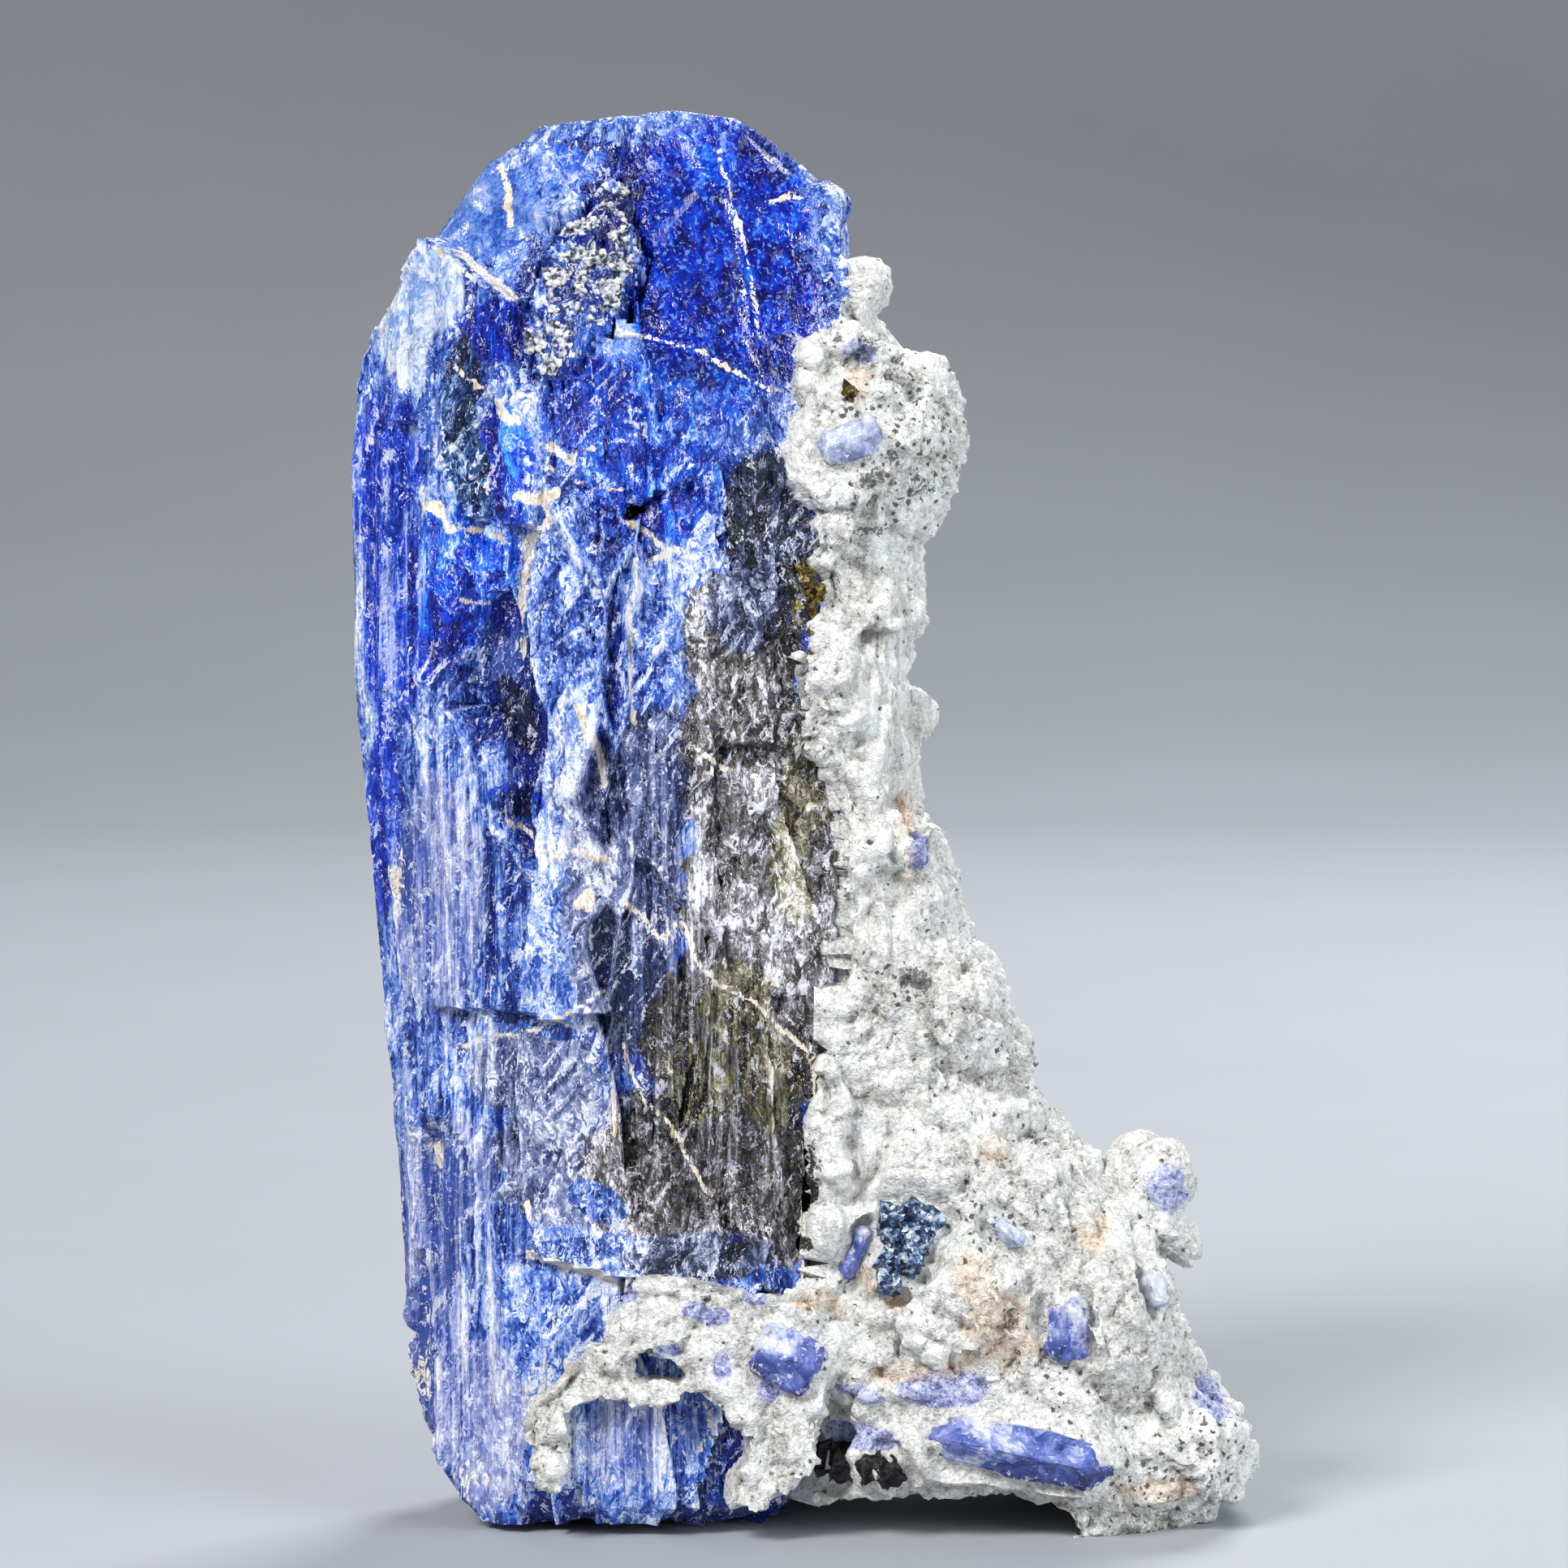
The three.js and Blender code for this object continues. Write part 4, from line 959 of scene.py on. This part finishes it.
def splitEdges(bm, longest, rounds):
    bmesh.ops.triangulate(bm, faces=bm.faces)
    for _ in range(rounds):
        longEdges = [edge for edge in bm.edges if edge.calc_length() > longest]
        bmesh.ops.subdivide_edges(bm, edges=longEdges, cuts=1)
        bmesh.ops.triangulate(bm, faces=bm.faces)


def shapeSmallCrystal(bm, taper, lean):
    places = np.array([vertex.co for vertex in bm.verts])
    low, high = places.min(axis=0), places.max(axis=0)
    middle, half = Vector((low + high) / 2), (high - low) / 2
    turn = Matrix.Rotation(math.radians(lean), 4, "Y")
    for vertex in bm.verts:
        offset = vertex.co - middle
        slim = math.sqrt(1 - taper * (offset.x / half[0]) ** 2)
        vertex.co = middle + turn @ Vector((offset.x, offset.y, offset.z * slim))


def buildSmallCrystal(node, rock):
    bm = mergedCopy(node)
    width = smallCrystal["bevel"]
    bmesh.ops.bevel(bm, geom=bm.edges[:], offset=width, affect="EDGES", segments=1, profile=0.5, material=-1)
    splitEdges(bm, smallCrystal["longestEdge"], smallCrystal["splits"])
    if node in smallShapes:
        shapeSmallCrystal(bm, *smallShapes[node])
    bm.normal_update()
    for vertex in bm.verts:
        flake = facetRelief(vertex.co, 0.8, 1.0)
        chip = facetRelief(vertex.co, 2.4, 1.0)
        depth = smallCrystal["flakeDepth"] * flake[0] + smallCrystal["chipDepth"] * chip[0]
        vertex.co += vertex.normal * (depth - smallCrystal["sink"])
    around = [rock.find_nearest(vertex.co)[3] for vertex in bm.verts]
    heights = np.array([vertex.co.z for vertex in bm.verts])
    piece = finishPiece(node + "_surface", bm, [node], sharpAngle=30)
    setMark(piece, "rim", 1 - softShare(*smallCrystal["rim"], np.array(around)))
    setMark(piece, "rise", (heights - heights.min()) / np.ptp(heights))
    return piece


def finishSmallCrystals(name, pieces, tones):
    tree, shader = newMaterial(name, *pieces)
    place = millimetres(tree)
    slope = noiseField(tree, place, (0.7, 0.7, 1.1), detail=2, rough=0.5, distort=0.4)
    mottle = noiseField(tree, place, (2.6, 2.6, 2.6), detail=4, rough=0.75, distort=0.8)
    cells, cell, splinter = brokenFaces(tree, place, (1.2, 1.2, 1.2), (3.4, 3.4, 0.7), 3.0)
    rise = mark(tree, "rise")
    tone = weighted(tree, (slope, 0.4), (mottle, 0.22), (splinter, 0.26), (cell, 0.12), (rise, 0.16))
    tone = rangeOf(tree, tone, 0.44, 0.72, kind="LINEAR")
    colour = ramp(tree, tone, tones)
    crumbs = noiseField(tree, place, (4.5, 4.5, 4.5), detail=3, rough=0.65)
    crumbField = plus(tree, crumbs, times(tree, mark(tree, "rim"), 0.13))
    colour = mixColours(tree, rangeOf(tree, crumbField, 0.625, 0.7, 0.0, 0.85), colour, light(222, 221, 224))
    link(tree, colour, shader, "Base Color")
    shader.inputs["Roughness"].default_value = 0.16
    shader.inputs["IOR"].default_value = tanzanite["ior"]
    shader.inputs["Transmission Weight"].default_value = 0.12
    bumped(tree, shader, mottle, 0.1, cellNormals(tree, cells, 0.3))


grains = {"longestEdge": 0.2, "splits": 3}
grainShrink = {"pyrite_grain": (0.6, 0.9, 0.8)}  # share of the node's size across, deep and up
grainTones = {
    "dark": [(0.1, (12, 20, 40)), (0.4, (38, 60, 96)), (0.62, (92, 122, 158)), (0.88, (226, 236, 244))],
    "brassy": [(0.0, (18, 14, 8)), (0.4, (84, 70, 30)), (0.75, (140, 122, 60)), (0.95, (214, 200, 150))],
    "black": [(0.0, (6, 6, 8)), (0.5, (20, 20, 24)), (0.95, (60, 60, 66))],
}


def buildGrains(node, scale, depth):
    bm = mergedCopy(node)
    middle = Vector(np.mean([vertex.co for vertex in bm.verts], axis=0))
    for vertex in bm.verts:
        vertex.co = middle + (vertex.co - middle) * Vector(grainShrink.get(node, (1, 1, 1)))
    splitEdges(bm, grains["longestEdge"], grains["splits"])
    bm.normal_update()
    for vertex in bm.verts:
        facet = facetRelief(vertex.co, scale, 1.0)
        vertex.co += vertex.normal * depth * (facet[0] + smoothStep(0, 0.3, facet[1]) - 0.8)
    return finishPiece(node + "_surface", bm, [node], sharpAngle=20)


def finishGrains(name, pieces, scale, tones, rough, metallic=0.0):
    tree, shader = newMaterial(name, *pieces)
    place = millimetres(tree)
    cells = cellField(tree, place, (scale, scale, scale))
    mottle = noiseField(tree, place, (4.0, 4.0, 4.0), detail=3, rough=0.75)
    tone = weighted(tree, (mottle, 0.6), (grey(tree, cells), 0.4))
    link(tree, ramp(tree, rangeOf(tree, tone, 0.3, 0.7, kind="LINEAR"), tones), shader, "Base Color")
    shader.inputs["Metallic"].default_value = metallic
    shader.inputs["Roughness"].default_value = rough
    bumped(tree, shader, mottle, 0.1, cellNormals(tree, cells, 0.9))


# The peppered crust

pepper = {"voxel": 0.075, "grainScale": 4.6, "grainDepth": 0.09}
pepperTones = [(0.24, (44, 50, 64)), (0.36, (110, 118, 136)), (0.48, (178, 184, 196)),
               (0.64, (214, 213, 206)), (0.88, (246, 246, 244))]
pepperWindows = [(-4.6, 36.9, 0.45, 1.5, 6), (-4.85, 35.0, 0.3, 0.9, 15), (-5.6, 38.2, 0.3, 0.5),
                 (-7.6, 36.9, 0.55, 1.4, -30), (-7.7, 34.6, 0.35, 0.9), (-5.0, 33.8, 0.35, 0.7, 10),
                 (-6.6, 37.7, 0.3, 0.6, -30)]


def buildPepper():
    bm = remeshed(mergedCopy("peppered_crust"), pepper["voxel"], "pepper")
    bmesh.ops.smooth_vert(bm, verts=bm.verts, factor=0.5, use_axis_x=True, use_axis_y=True, use_axis_z=True)
    levels = []
    for vertex in bm.verts:
        grain = facetRelief(vertex.co, pepper["grainScale"], 1.0)
        rise = smoothStep(0, 0.35, grain[1]) - 0.6 + 0.6 * (grain[2] - 0.5)
        vertex.co += vertex.normal * pepper["grainDepth"] * rise
        levels.append(rise)
    piece = finishPiece("peppered_crust_surface", bm, ["peppered_crust"], sharpAngle=50)
    setMark(piece, "grain", levels)
    setMark(piece, "window", ovalField(seenFromFront(placesOf(piece)), pepperWindows))
    return piece


def finishPepper(piece):
    tree, shader = newMaterial("peppered crust", piece)
    place = millimetres(tree)
    sugar = noiseField(tree, place, (8.0, 8.0, 8.0), detail=2, rough=0.7)
    fine = grey(tree, cellField(tree, place, (7.5, 7.5, 7.5)))
    level = weighted(tree, (fine, 0.7), (mark(tree, "grain"), 0.3), (sugar, 0.4))
    streak = noiseField(tree, place, (3.2, 3.2, 0.3), detail=3, rough=0.7, distort=0.5)
    glass = ramp(tree, rangeOf(tree, streak, 0.38, 0.62, kind="LINEAR"), crystalTones["mottled"])
    window = plus(tree, mark(tree, "window"), swing(tree, sugar, 1.5))
    crust = ramp(tree, level, pepperTones)
    link(tree, mixColours(tree, rangeOf(tree, window, 0.4, 0.6), crust, glass), shader, "Base Color")
    shader.inputs["Roughness"].default_value = 0.5
    bumped(tree, shader, sugar, 0.06)


addCamera()
addLights()
addStudio()
print("stage ready")
finishCrystal(buildCrystal())
finishMatrix(buildMatrix())
rock = treeOf("matrix")
darkSmall = [buildSmallCrystal(node, rock) for node in smallCrystals if node not in paleCrystals]
paleSmall = [buildSmallCrystal(node, rock) for node in paleCrystals]
finishSmallCrystals("small tanzanite", darkSmall, smallTones["violet"])
finishSmallCrystals("pale tanzanite", paleSmall, smallTones["pale"])
cluster = buildGrains("pyrite_cluster", 4.0, 0.08)
brassy = [buildGrains(node, 2.6, 0.15) for node in ("pyrite_grain", "pyrite_seam")]
graphite = buildGrains("graphite_mass", 2.0, 0.15)
finishGrains("dark pyrite", [cluster], 6.5, grainTones["dark"], 0.3, 0.3)
finishGrains("brassy pyrite", brassy, 5.0, grainTones["brassy"], 0.3, 0.6)
finishGrains("graphite", [graphite], 4.0, grainTones["black"], 0.45, 0.2)
finishPepper(buildPepper())
